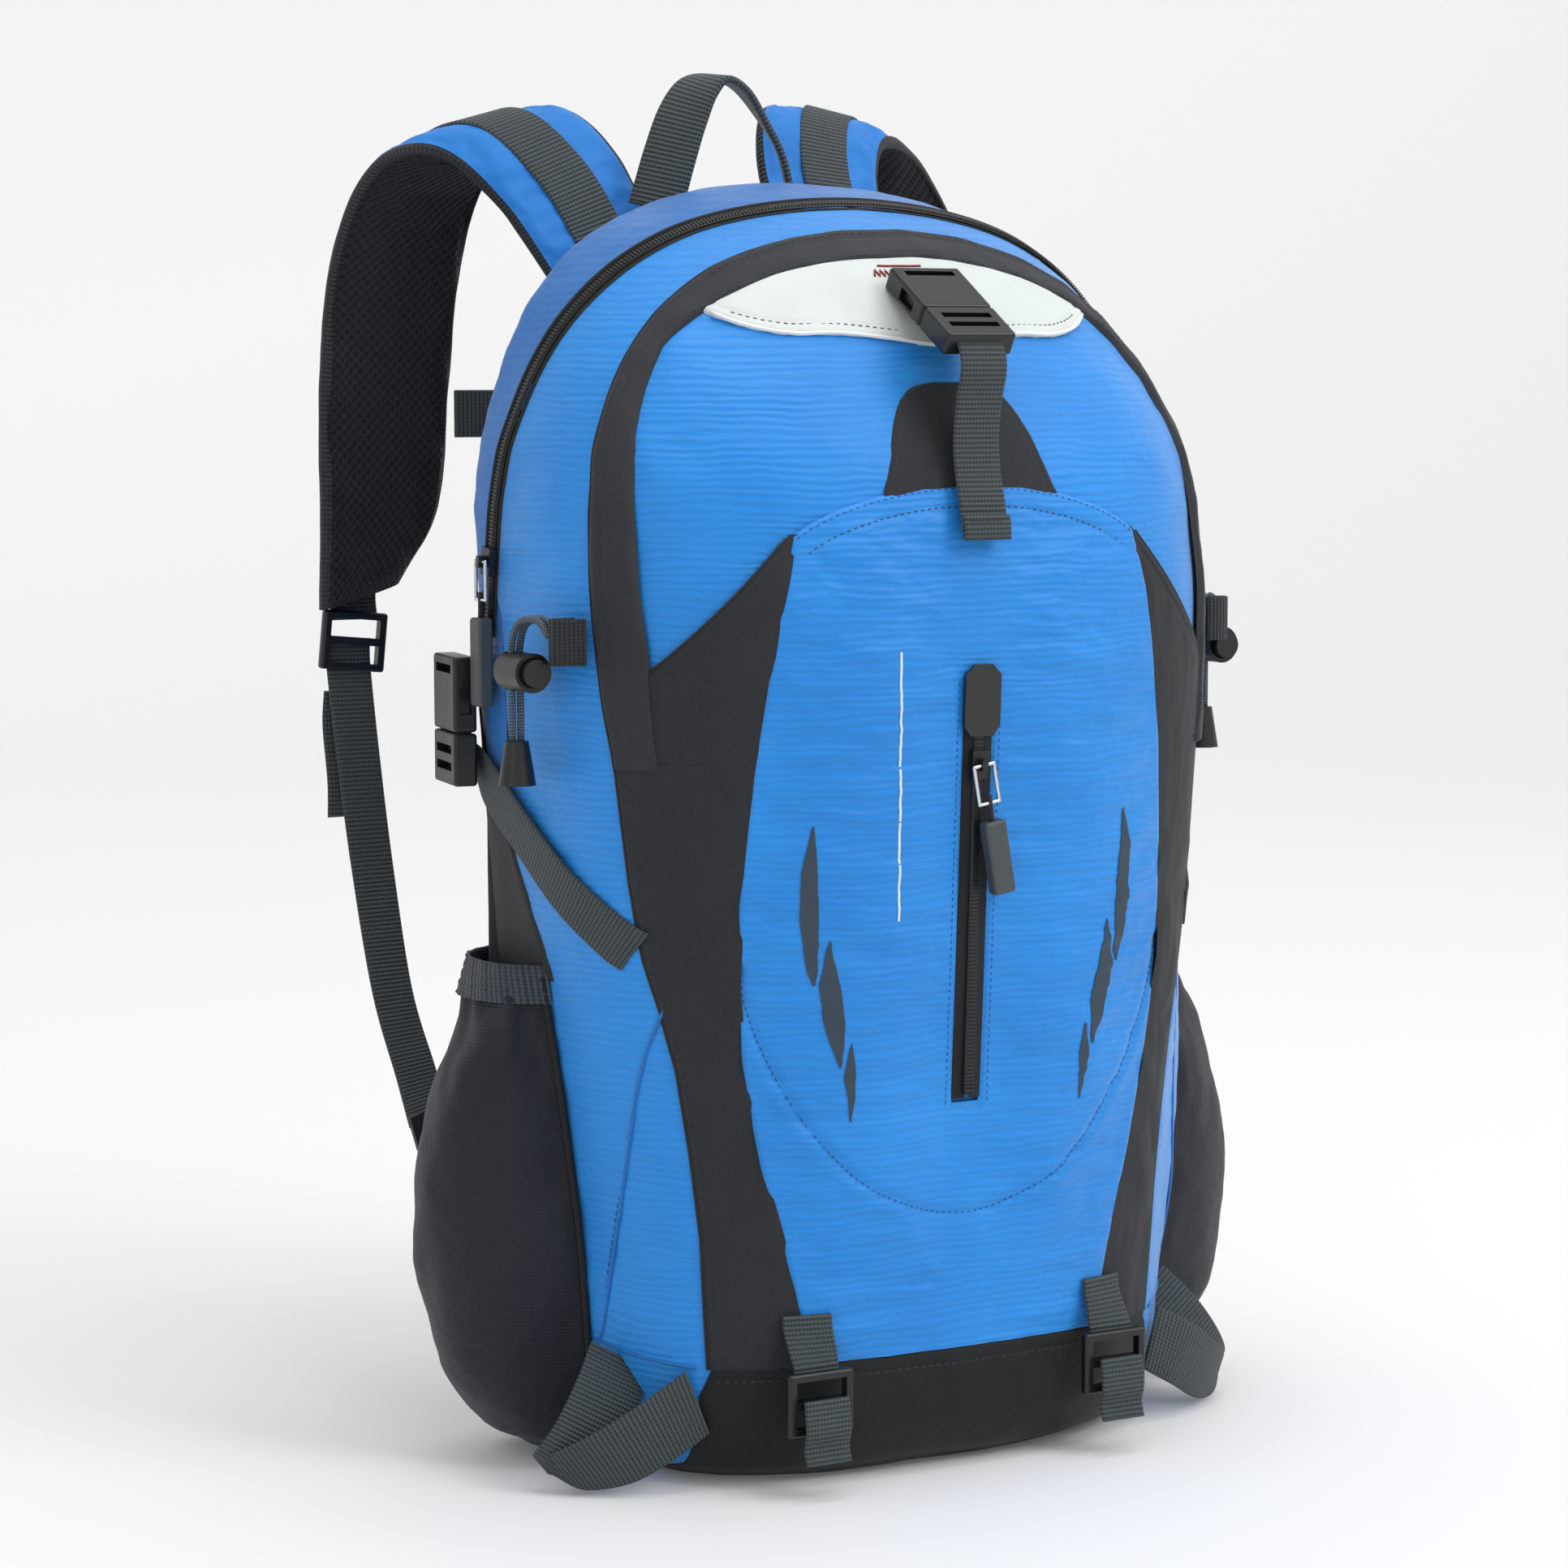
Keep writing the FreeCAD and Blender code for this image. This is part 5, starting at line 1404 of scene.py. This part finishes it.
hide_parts("front_zip_coil")

# ============================== straps of the hood
TOP_LINE = [(-101.5, 434), (-98.5, 424), (-96.2, 410), (-97.2, 397), (-101, 383), (-103.6, 370.5)]
TOP_LINE = [(-93.5, 447.6), (-97.5, 446.0), (-100.8, 441.0)] + TOP_LINE
stations = []
for k, (y, z) in enumerate(TOP_LINE):
    a = np.array(TOP_LINE[max(k - 1, 0)], float)
    b = np.array(TOP_LINE[min(k + 1, len(TOP_LINE) - 1)], float)
    way = (b - a) / np.linalg.norm(b - a)
    stations.append(((0, y, z), (1, 0, 0), (0, way[1], -way[0])))
top_strap = strap("top_strap_a", stations, 20.6, 1.6, "webbing", 12)
y0, z0 = TOP_LINE[-1]
hem_fold = strap("top_strap_b",
                 [((0, y0 + 1.0 - 1.5, z0 + 9), (1, 0, 0), (0, -1, 0)),
                  ((0, y0 - 1.6, z0 + 4), (1, 0, 0), (0, -1, 0)),
                                 ((0, y0 - 1.6, z0 - 0.5), (1, 0, 0), (0, -1, 0))], 20.8, 1.5, "webbing", 6)
box_stitch = []
for z in (z0 + 7.0, z0 + 1.8):
    pts = [(x, y0 - 2.7 + (0.6 if z > z0 + 5 else 0), z) for x in np.linspace(-9, 9, 12)]
    box_stitch.append(stitches("bs", pts, [(0, -1, 0)] * 12, "thread", pitch=2.6, length=1.9, width=0.45,
                               lift=0.3))
top_strap = merge("top_strap_look", [top_strap, hem_fold] + box_stitch)
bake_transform(top_strap)
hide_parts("top_strap")

anchor_box = [np.array(c) * 1000 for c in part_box("top_strap_anchor")]
anchor_stations = []
for t in np.linspace(0, 1, 5):
    y = anchor_box[0][1] * (1 - t) + anchor_box[1][1] * t
    z = 470.5 + 2.2 * t
    anchor_stations.append(((0, y, z), (1, 0, 0), (0, -0.35, 1)))
top_anchor = strap("top_anchor", anchor_stations, 19.5, 1.5, "webbing", 4)
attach(top_anchor, "hood")
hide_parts("top_strap_anchor")

# ============================== shoulder straps
PATHS = {
    "left": [((-70, 76, 474), (0.96, 0.0, 0.28), (0, -1, 0.25)),
             ((-84, 97, 512), (0.92, 0.0, 0.38), (0, -0.8, 0.6)),
             ((-104, 113, 532), (0.94, 0.05, 0.3), (0, 0.05, 1)),
             ((-124, 132, 520), (0.98, 0.15, 0.1), (0, 0.8, 0.6)),
             ((-136, 144, 480), (1, 0.12, 0), (0, 1, 0.2)), ((-140, 150, 430), (1, 0.1, 0), (0, 1, 0)),
             ((-142, 152, 375), (1, 0.1, 0.08), (0, 1, 0)), ((-152, 152, 340), (0.96, 0.1, 0.28), (0, 1, 0))],
    "right": [((42, 76, 474), (0.99, 0.0, -0.05), (0, -1, 0.25)),
              ((40, 98, 513), (0.99, 0.0, -0.1), (0, -0.8, 0.6)),
              ((52, 114, 538), (0.97, -0.05, -0.2), (0, 0.05, 1)),
              ((80, 134, 527), (0.98, -0.15, -0.1), (0, 0.8, 0.6)),
              ((108, 144, 484), (1, -0.12, 0), (0, 1, 0.2)), ((116, 150, 430), (1, -0.1, 0), (0, 1, 0)),
              ((120, 152, 375), (1, -0.1, -0.08), (0, 1, 0)),
              ((130, 152, 340), (0.96, -0.1, -0.28), (0, 1, 0))],
}
SCALES = [0.84, 0.94, 1.0, 1.0, 1.0, 0.98, 0.9, 0.62]


def pad_shape(name):
    """Padded strap: blue cloth outside, spacer mesh inside, bound edges."""
    path = PATHS[name]
    count = 48
    profile = []
    for k in range(count):
        a = 2 * math.pi * (k + 0.5) / count
        c, s = math.cos(a), math.sin(a)
        u = 31.0 * math.copysign(abs(c) ** (2 / 3.0), c)
        v = 6.4 * math.copysign(abs(s) ** (2 / 2.4), s)
        if abs(u) > 26.5:
            v *= 0.9
        profile.append((u, v))
    obj = strap("pad_" + name, path, 62.0, 12.0, "blue_pad", 22, profile, widths=SCALES)
    mesh = obj.data
    mesh.materials.append(LOOKS["air_mesh"])
    mesh.materials.append(LOOKS["webbing_dark"])
    n = len(profile)
    rings = (len(mesh.vertices)) // n
    for poly in mesh.polygons:
        k = poly.index % n
        u = 0.5 * (profile[k][0] + profile[(k + 1) % n][0])
        v = 0.5 * (profile[k][1] + profile[(k + 1) % n][1])
        if poly.index >= (rings - 1) * n:
            poly.material_index = 2
        elif abs(u) > 27.0 and v < 2.6:
            poly.material_index = 2
        else:
            poly.material_index = 0 if v > 0 else 1
    # the cloth dips under the webbing and the foam crowds a little along it
    co = np.array([v.co[:] for v in mesh.vertices]) * 1000
    rough = fbm(co, 34.0, 151 if name == "left" else 157, 3)
    mesh.calc_loop_triangles()
    normals = np.array([v.normal[:] for v in mesh.vertices])
    co = co + normals * (0.55 * rough)[:, None]
    for v, p in zip(mesh.vertices, co):
        v.co = Vector(p) * MM
    pins = []
    for index in range(len(mesh.vertices)):
        u, v = profile[index % n]
        sewn_edge = abs(u) > 27.5 or (abs(u) < 11.8 and v > 0)
        held = sewn_edge or index < 3 * n or index > len(mesh.vertices) - 5 * n
        pins.append(1.0 if held else 0.0)
    return inflate(obj, pins, 3.0, cap=2.2)


def moved(path, amount):
    """A path moved along its own normals."""
    out = []
    for centre, across, normal in path:
        a = np.array(across, float) / np.linalg.norm(across)
        n = np.array(normal, float) - a * np.dot(normal, a)
        n /= np.linalg.norm(n)
        out.append((np.array(centre, float) + n * amount, a, n))
    return out


for name in ("left", "right"):
    side = -1 if name == "left" else 1
    pad = pad_shape(name)
    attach(pad, "strap_" + name)
    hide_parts("shoulder_pad_" + name)
    raised = moved(PATHS[name], 6.9)
    band = strap("band_" + name, raised, 23.0, 1.6, "webbing", 16)
    tail = PATHS[name][-1][0]
    loop = strap("loop_" + name, [((tail[0], 158.6, tail[2] + 2), (1, 0, 0), (0, 1, 0)),
                                  ((tail[0] + side * 0.5, 157.5, tail[2] - 3), (1, 0, 0), (0, 1, 0)),
                                  ((tail[0] + side * 1.0, 154.5, tail[2] - 10), (1, 0, 0), (0, 1, 0))], 21.0,
                 1.6, "webbing", 6)
    whole = merge("strap_band_" + name, [band, loop])
    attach(whole, "strap_" + name)
    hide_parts("strap_webbing_" + name)
    x = 156.0 if side < 0 else 134.0
    low = [((side * (x + 0.0), 155.0, 322), (1, 0, 0), (0, 1, 0)),
           ((side * x, 154.2, 308), (1, 0, 0), (0, 1, 0)),
           ((side * (x - 3), 152, 270), (1, 0.05, 0), (0, 1, 0)),
           ((side * (x - 6), 146, 225), (1, 0.1, 0), (0, 1, 0.1)),
           ((side * (x - 4), 122, 176), (1, 0.2, 0), (0, 1, -0.6)),
           ((side * 153, 96, 145), (1, 0.2, 0.1), (0, 1, -0.9)),
           ((side * 156, 77, 129), (0.9, 0.2, 0.2 * -side), (0, 1, -1.0))]
    web = strap("lower_a", low, 20.0, 1.6, "webbing", 14)
    tail_end = strap("lower_b",
                     [((side * x, 158.0, 300), (1, 0, 0), (0, 1, 0)),
                      ((side * x, 160.0, 285), (1, 0, 0), (0, 1, 0)),
                                 ((side * (x - 1), 158.0, 262), (1, 0, 0), (0, 1, -0.1)),
                                 ((side * (x - 2), 160.5, 246), (1, 0, 0), (0, 1, -0.1))], 20.0, 1.6,
                     "webbing", 8)
    web = merge("lower_webbing_" + name, [web, tail_end])
    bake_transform(web)
    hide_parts("lower_webbing")

# sternum straps
left = strap("sternum_left",
             [((-108, 149.8, 416), (0, 0, 1), (0, -1, 0)), ((-75, 149.8, 416), (0, 0, 1), (0, -1, 0)),
                              ((-41, 149.8, 416), (0, 0, 1), (0, -1, 0))], 20.0, 1.6, "webbing", 4)
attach(left, "strap_left")
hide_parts("sternum_webbing_left")
right = strap("sternum_right",
              [((2, 155.2, 416), (0, 0, 1), (0, -1, 0)), ((44, 155.2, 416), (0, 0, 1), (0, -1, 0)),
                                ((85, 155.2, 416), (0, 0, 1), (0, -1, 0))], 20.0, 1.6, "webbing", 8)
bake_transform(right)
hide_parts("sternum_webbing_right")

# ============================== haul loop
HAUL = [(-55, 500.5), (-52, 509.5), (-48, 522), (-42, 538), (-35, 549.5), (-26, 554), (-15, 550), (-5, 538),
        (4, 524),
        (9, 506)]
HAUL_TURN = [-0.9, -0.9, -0.85, -0.7, -0.4, -0.1, -0.25, -0.4, -0.5, -0.5]
stations = []
for k, (x, z) in enumerate(HAUL):
    a = np.array(HAUL[max(k - 1, 0)], float)
    b = np.array(HAUL[min(k + 1, len(HAUL) - 1)], float)
    way = (b - a) / np.linalg.norm(b - a)
    stations.append(((x, 66.5, z), (HAUL_TURN[k] * way[1], 1, -HAUL_TURN[k] * way[0]), (-way[1], 0, way[0])))
haul = strap("haul_look", stations, 24.0, 3.0, "webbing", 14)
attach(haul, "haul_loop")
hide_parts("haul_loop")

# ============================== corner loops
loops = []
for side in (-1, 1):
    lower_layer = [((side * 106, -64.5, 36), (0.35 * side, 0.1, 1), (side * 0.5, -1, 0.1)),
                   ((side * 122, -64.0, 27), (0.5 * side, 0.1, 1), (side * 0.6, -1, 0.2)),
                   ((side * 138, -57.5, 17), (0.6 * side, 0.15, 1), (side * 0.5, -1, 0.3)),
                   ((side * 152, -46, 10.5), (0.6 * side, 0.3, 0.9), (side * 0.4, -1, 0.4)),
                   ((side * 158, -36, 11.5), (0.3 * side, 0.7, 0.7), (side, -0.5, 0.4))]
    upper_layer = [((side * 124, -34, 50), (0.9 * side, 0.3, 0.55), (side * 0.9, -0.9, 0.5)),
                   ((side * 134, -42, 38), (0.9 * side, 0.3, 0.5), (side * 0.9, -0.9, 0.5)),
                   ((side * 146, -45, 23), (0.8 * side, 0.35, 0.5), (side * 0.8, -0.9, 0.5)),
                   ((side * 156, -41, 13), (0.7 * side, 0.5, 0.5), (side * 0.7, -0.8, 0.5)),
                   ((side * 159, -34, 11), (0.3 * side, 0.8, 0.6), (side, -0.5, 0.4))]
    loops.append(strap("l1", lower_layer, 27.0, 1.7, "webbing", 10, widths=[1.0, 1.0, 0.95, 0.72, 0.4]))
    loops.append(strap("l2", upper_layer, 27.0, 1.7, "webbing", 10, widths=[1.0, 1.0, 0.9, 0.68, 0.4]))
loops = merge("corner_loops_look", loops)
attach(loops, "bag")
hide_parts("corner_loops")

# base webbing above the low ladder locks
low_web = []
for side in (-1, 1):
    lean = side * float(front_y(np.array(72.0), np.array(68.0)) - front_y(np.array(64.0), np.array(68.0))) / 8
    foot = float(front_y(np.array(68.0), np.array(69.0)))
    low_web.append(strap("w1", [((side * 68, foot - 2.4, 70), (1, lean, 0), (0, -1, 0)),
                                ((side * 68, foot - 3.4, 64), (1, lean, 0), (0, -1, 0)),
                                ((side * 68, -88.0, 57), (1, lean * 0.5, 0), (0, -1, 0)),
                                ((side * 68, -90.6, 52), (1, 0, 0), (0, -1, 0)),
                                ((side * 68, -91.4, 47.6), (1, 0, 0), (0, -1, 0))], 20.0, 1.6, "webbing", 6))
low_web = merge("base_webbing_look", low_web)
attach(low_web, "bag")
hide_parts("base_webbing")
tails = []
for side, name in ((-1, "left"), (1, "right")):
    tail = strap("base_tail_" + name,
                 [((side * 68, -99.5, 40), (1, 0, 0), (0, -1, 0)),
                  ((side * 68, -101.0, 28), (1, 0, 0), (0, -1, 0)),
                                       ((side * 68, -99.5, 21), (1, 0, 0), (0, -1, 0.1)),
                  ((side * 68, -101.5, 15), (1, 0, 0), (0, -1, 0.1))],
                 20.0, 1.5, "webbing", 8)
    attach(tail, "base_lock_" + name)

# ============================== pole holders
cords, tabs = [], []
for side in (-1, 1):
    for shift in (-1.75, 1.75):
        line = [(152.4, -37.0, 334.0), (154.6, -31.0, 340.0), (158.0, -22.5, 338.5), (159.5, -19.0, 330.0),
                (159.5, -19.0, 318.0), (159.5, -19.0, 293.0)]
        cords.append(tube("c", catmull([(side * (x + shift), y, z) for x, y, z in line], 10), 1.45, "bungee",
                          10))
    tabs.append(strap("tb", [((side * x, y, 332), (0, 0, 1), (0, -1, 0)) for x, y in
                             ((143.0, -46.4), (149.0, -46.0), (154.4, -44.0), (155.6, -41.6), (154.4, -39.2),
                              (149.0, -37.6),
                              (143.5, -37.2))], 18.0, 1.6, "webbing_dark", 6))
cords = merge("pole_cords_look", cords)
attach(cords, "bag")
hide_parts("pole_cords")
tabs = merge("pole_tabs_look", tabs)
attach(tabs, "bag")
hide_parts("pole_tabs")

# short cords of the zip pulls
for prefix in ("front", "main"):
    lo, hi = [np.array(c) * 1000 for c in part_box(prefix + "_pull_cord")]
    mid = (lo + hi) / 2
    line = [(mid[0], mid[1], hi[2]), tuple(mid), (mid[0], mid[1], lo[2])]
    if prefix == "front":
        line = [(lo[0] + 1.2, mid[1], hi[2]), tuple(mid), (hi[0] - 1.2, mid[1], lo[2])]
    neck = tube(prefix + "_pull_neck", catmull(line, 8), 1.15, "cord", 10)
    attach(neck, prefix + "_pull")
    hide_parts(prefix + "_pull_cord")

# ============================== back
def cushion(name, x0, x1, z0, z1, seed):
    """One back pad: a soft block with rounded edges, mesh on its face."""
    cols, rows = 60, 60
    u = np.linspace(-1, 1, cols)
    v = np.linspace(-1, 1, rows)
    uu, vv = np.meshgrid(u, v)
    half_x, half_z = (x1 - x0) / 2, (z1 - z0) / 2
    x = (x0 + x1) / 2 + half_x * uu
    z = (z0 + z1) / 2 + half_z * vv
    ex, ez = half_x * (1 - np.abs(uu)), half_z * (1 - np.abs(vv))
    corner = np.minimum(ex, ez)
    blend_edge = 1 - np.sqrt(np.clip(1 - ex / 14, 0, 1) ** 2 + np.clip(1 - ez / 14, 0, 1) ** 2)
    rise = np.clip(blend_edge, 0, 1) ** 0.5
    y = 66.6 + 12.0 * rise
    points = np.stack([x, y, z], -1)
    y = y + 0.7 * fbm(points, 30.0, seed, 3) * smooth(corner, 0, 10)
    points = np.stack([x, y, z], -1)
    return grid_object(name, points, "air_mesh", np.stack([x, z], -1), flip=True)


def puffed(pad):
    """The cushion's cover, held where it is sewn, rounds out over its foam."""
    pins = [1.0 if v.co.y < 0.0675 else 0.0 for v in pad.data.vertices]
    return inflate(pad, pins, 2.0, cap=1.2)


pads = [cushion("pad1", -96, -6, 250, 440, 161), cushion("pad2", 6, 96, 250, 440, 163),
        cushion("pad3", -96, 96, 130, 238, 165),
        cushion("pad4", -90, 90, 50, 118, 167)]
back_pads = merge("back_pads_look", [puffed(pad) for pad in pads])
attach(back_pads, "bag")
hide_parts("back_pads")
back_cloth_z = np.linspace(26, 470, 100)
backing = np.empty((100, 50, 3))
for i, z in enumerate(back_cloth_z):
    half = float(side_x(np.array(64.8), np.array(z))) if z < 470 else 60.0
    backing[i, :, 0] = np.linspace(-min(half, 118), min(half, 118), 50)
    backing[i, :, 1] = 66.35
    backing[i, :, 2] = z
backing[..., 1] += 0.25 * fbm(backing, 25.0, 171, 3)
backing_obj = grid_object("back_cloth", backing, "charcoal", np.stack([backing[..., 0], backing[..., 2]], -1),
                          flip=True)
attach(backing_obj, "bag")

tabs = []
for side in (-1, 1):
    corners = [(112, 92), (112, 152), (122, 150), (168, 132), (164, 118), (122, 90)]
    verts, faces = [], []
    for y in (68.0, 71.0):
        for x, z in corners:
            verts.append((side * x, y, z))
    k = len(corners)
    faces = [tuple(range(k)), tuple(range(2 * k - 1, k - 1, -1))]
    faces += [(i, (i + 1) % k, (i + 1) % k + k, i + k) for i in range(k)]
    uvs = [(x, z) for x, _, z in verts]
    tabs.append(finish_mesh("anchor", verts, faces, uvs, "charcoal", smooth=False))
tabs = merge("anchor_tabs_look", tabs)
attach(tabs, "bag")
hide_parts("anchor_tabs")

lo, hi = [np.array(c) * 1000 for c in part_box("sleeve")]
sl_x, sl_z = np.meshgrid(np.linspace(lo[0], hi[0], 40), np.linspace(lo[2], hi[2], 50))
sl = np.stack([sl_x, np.full_like(sl_x, (lo[1] + hi[1]) / 2), sl_z], -1)
sl[..., 1] += 0.4 * fbm(sl, 40.0, 181, 3)
sleeve = grid_object("sleeve_look", sl, "lining", np.stack([sl_x, sl_z], -1), solid=1.0)
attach(sleeve, "bag")
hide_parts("sleeve")

# ============================== hard CAD pieces
HARD = {
    "plastic": ["top_socket", "top_prongs", "side_sockets", "side_prongs_left", "side_prongs_right",
                "sternum_socket",
                "sternum_prongs", "strap_lock_left", "strap_lock_right", "base_lock_left", "base_lock_right",
                "cord_lock_left",
                "cord_lock_right", "lock_button_left", "lock_button_right", "cord_ends", "main_slider",
                "front_slider"],
    "wire": ["front_pull_ring", "main_pull_ring"],
    "rubber": ["front_pull_tab", "main_pull_tab"],
    "garage": ["zip_garage"],
}
for look, names in HARD.items():
    for name in names:
        for obj in bpy.data.objects:
            if obj.type == "MESH" and (obj.name == name or obj.name.split(".")[0] == name):
                obj.data.materials.clear()
                obj.data.materials.append(LOOKS[look])

# ============================== stage
sweep = [(-14.0, 0.0), (3.0, 0.0)]
sweep += [(3.0 + 5.0 * math.sin(a), 5.0 - 5.0 * math.cos(a)) for a in np.linspace(0.04, math.pi / 2, 30)]
sweep += [(8.0, 12.0)]
turn = math.radians(-29.8)
floor_points = []
for y, z in sweep:
    floor_points.append([((x * math.cos(turn) - y * math.sin(turn)) / MM,
                          (x * math.sin(turn) + y * math.cos(turn)) / MM, z / MM)
                         for x in (-16.0, 16.0)])
floor_points = np.array(floor_points)
floor = grid_object("floor", floor_points, "base", np.zeros(floor_points.shape[:2] + (2,)))
floor.data.materials.clear()
floor_maker = Maker("floor")
# The floor and its sweep glow more towards the back: painted light that brightens the backdrop away from the
# bag, not a lamp.
depth = floor_maker.node("ShaderNodeSeparateXYZ",
                         {0: floor_maker.node("ShaderNodeTexCoord").outputs["Object"]}).outputs[1]
painted_glow = floor_maker.node("ShaderNodeMapRange", {0: depth, 1: -1.0, 2: 5.0, 3: 0.0, 4: 0.27}).outputs[0]
floor.data.materials.append(floor_maker.set(Base_Color=(0.8, 0.8, 0.8, 1), Roughness=0.8,
                                            Specular_IOR_Level=0.15,
                                            Emission_Color=(1, 1, 1, 1), Emission_Strength=painted_glow))

world = bpy.data.worlds.new("studio")
bpy.context.scene.world = world
world.use_nodes = True
back_node = next(n for n in world.node_tree.nodes if n.type == "BACKGROUND")
back_node.inputs["Color"].default_value = (1.0, 1.0, 1.0, 1)
back_node.inputs["Strength"].default_value = 0.72


def area(name, where, target, size, power):
    """A soft area light."""
    data = bpy.data.lights.new(name, "AREA")
    data.shape = "RECTANGLE"
    data.size, data.size_y = size
    data.energy = power
    light = bpy.data.objects.new(name, data)
    light.location = where
    light.rotation_euler = (Vector(target) - Vector(where)).to_track_quat("-Z", "Y").to_euler()
    bpy.context.collection.objects.link(light)
    return light


area("key", (1.5, -2.2, 2.3), (0, 0, 0.25), (1.4, 1.4), 34)
area("fill", (-2.6, -1.6, 1.2), (0, 0, 0.25), (1.6, 1.6), 4)
area("top", (0.2, -0.3, 2.8), (0, 0, 0.2), (1.8, 1.8), 27)

camera_data = bpy.data.cameras.new("camera")
camera_data.lens = 93.2
camera_data.sensor_width = 36.0
camera_data.sensor_fit = "HORIZONTAL"
camera_data.clip_end = 60
camera_data.shift_x = -0.0433
camera_data.shift_y = 0.0253
camera = bpy.data.objects.new("camera", camera_data)
azimuth, elevation = math.radians(-29.8), math.radians(6.5)
target_height, camera_distance = 0.250, 1.662
away = Vector((math.sin(azimuth) * math.cos(elevation), -math.cos(azimuth) * math.cos(elevation),
               math.sin(elevation)))
camera.location = Vector((0, 0, target_height)) + away * camera_distance
camera.rotation_euler = (-away).to_track_quat("-Z", "Y").to_euler()
bpy.context.collection.objects.link(camera)
bpy.context.scene.camera = camera
bpy.context.scene.view_settings.view_transform = "Standard"
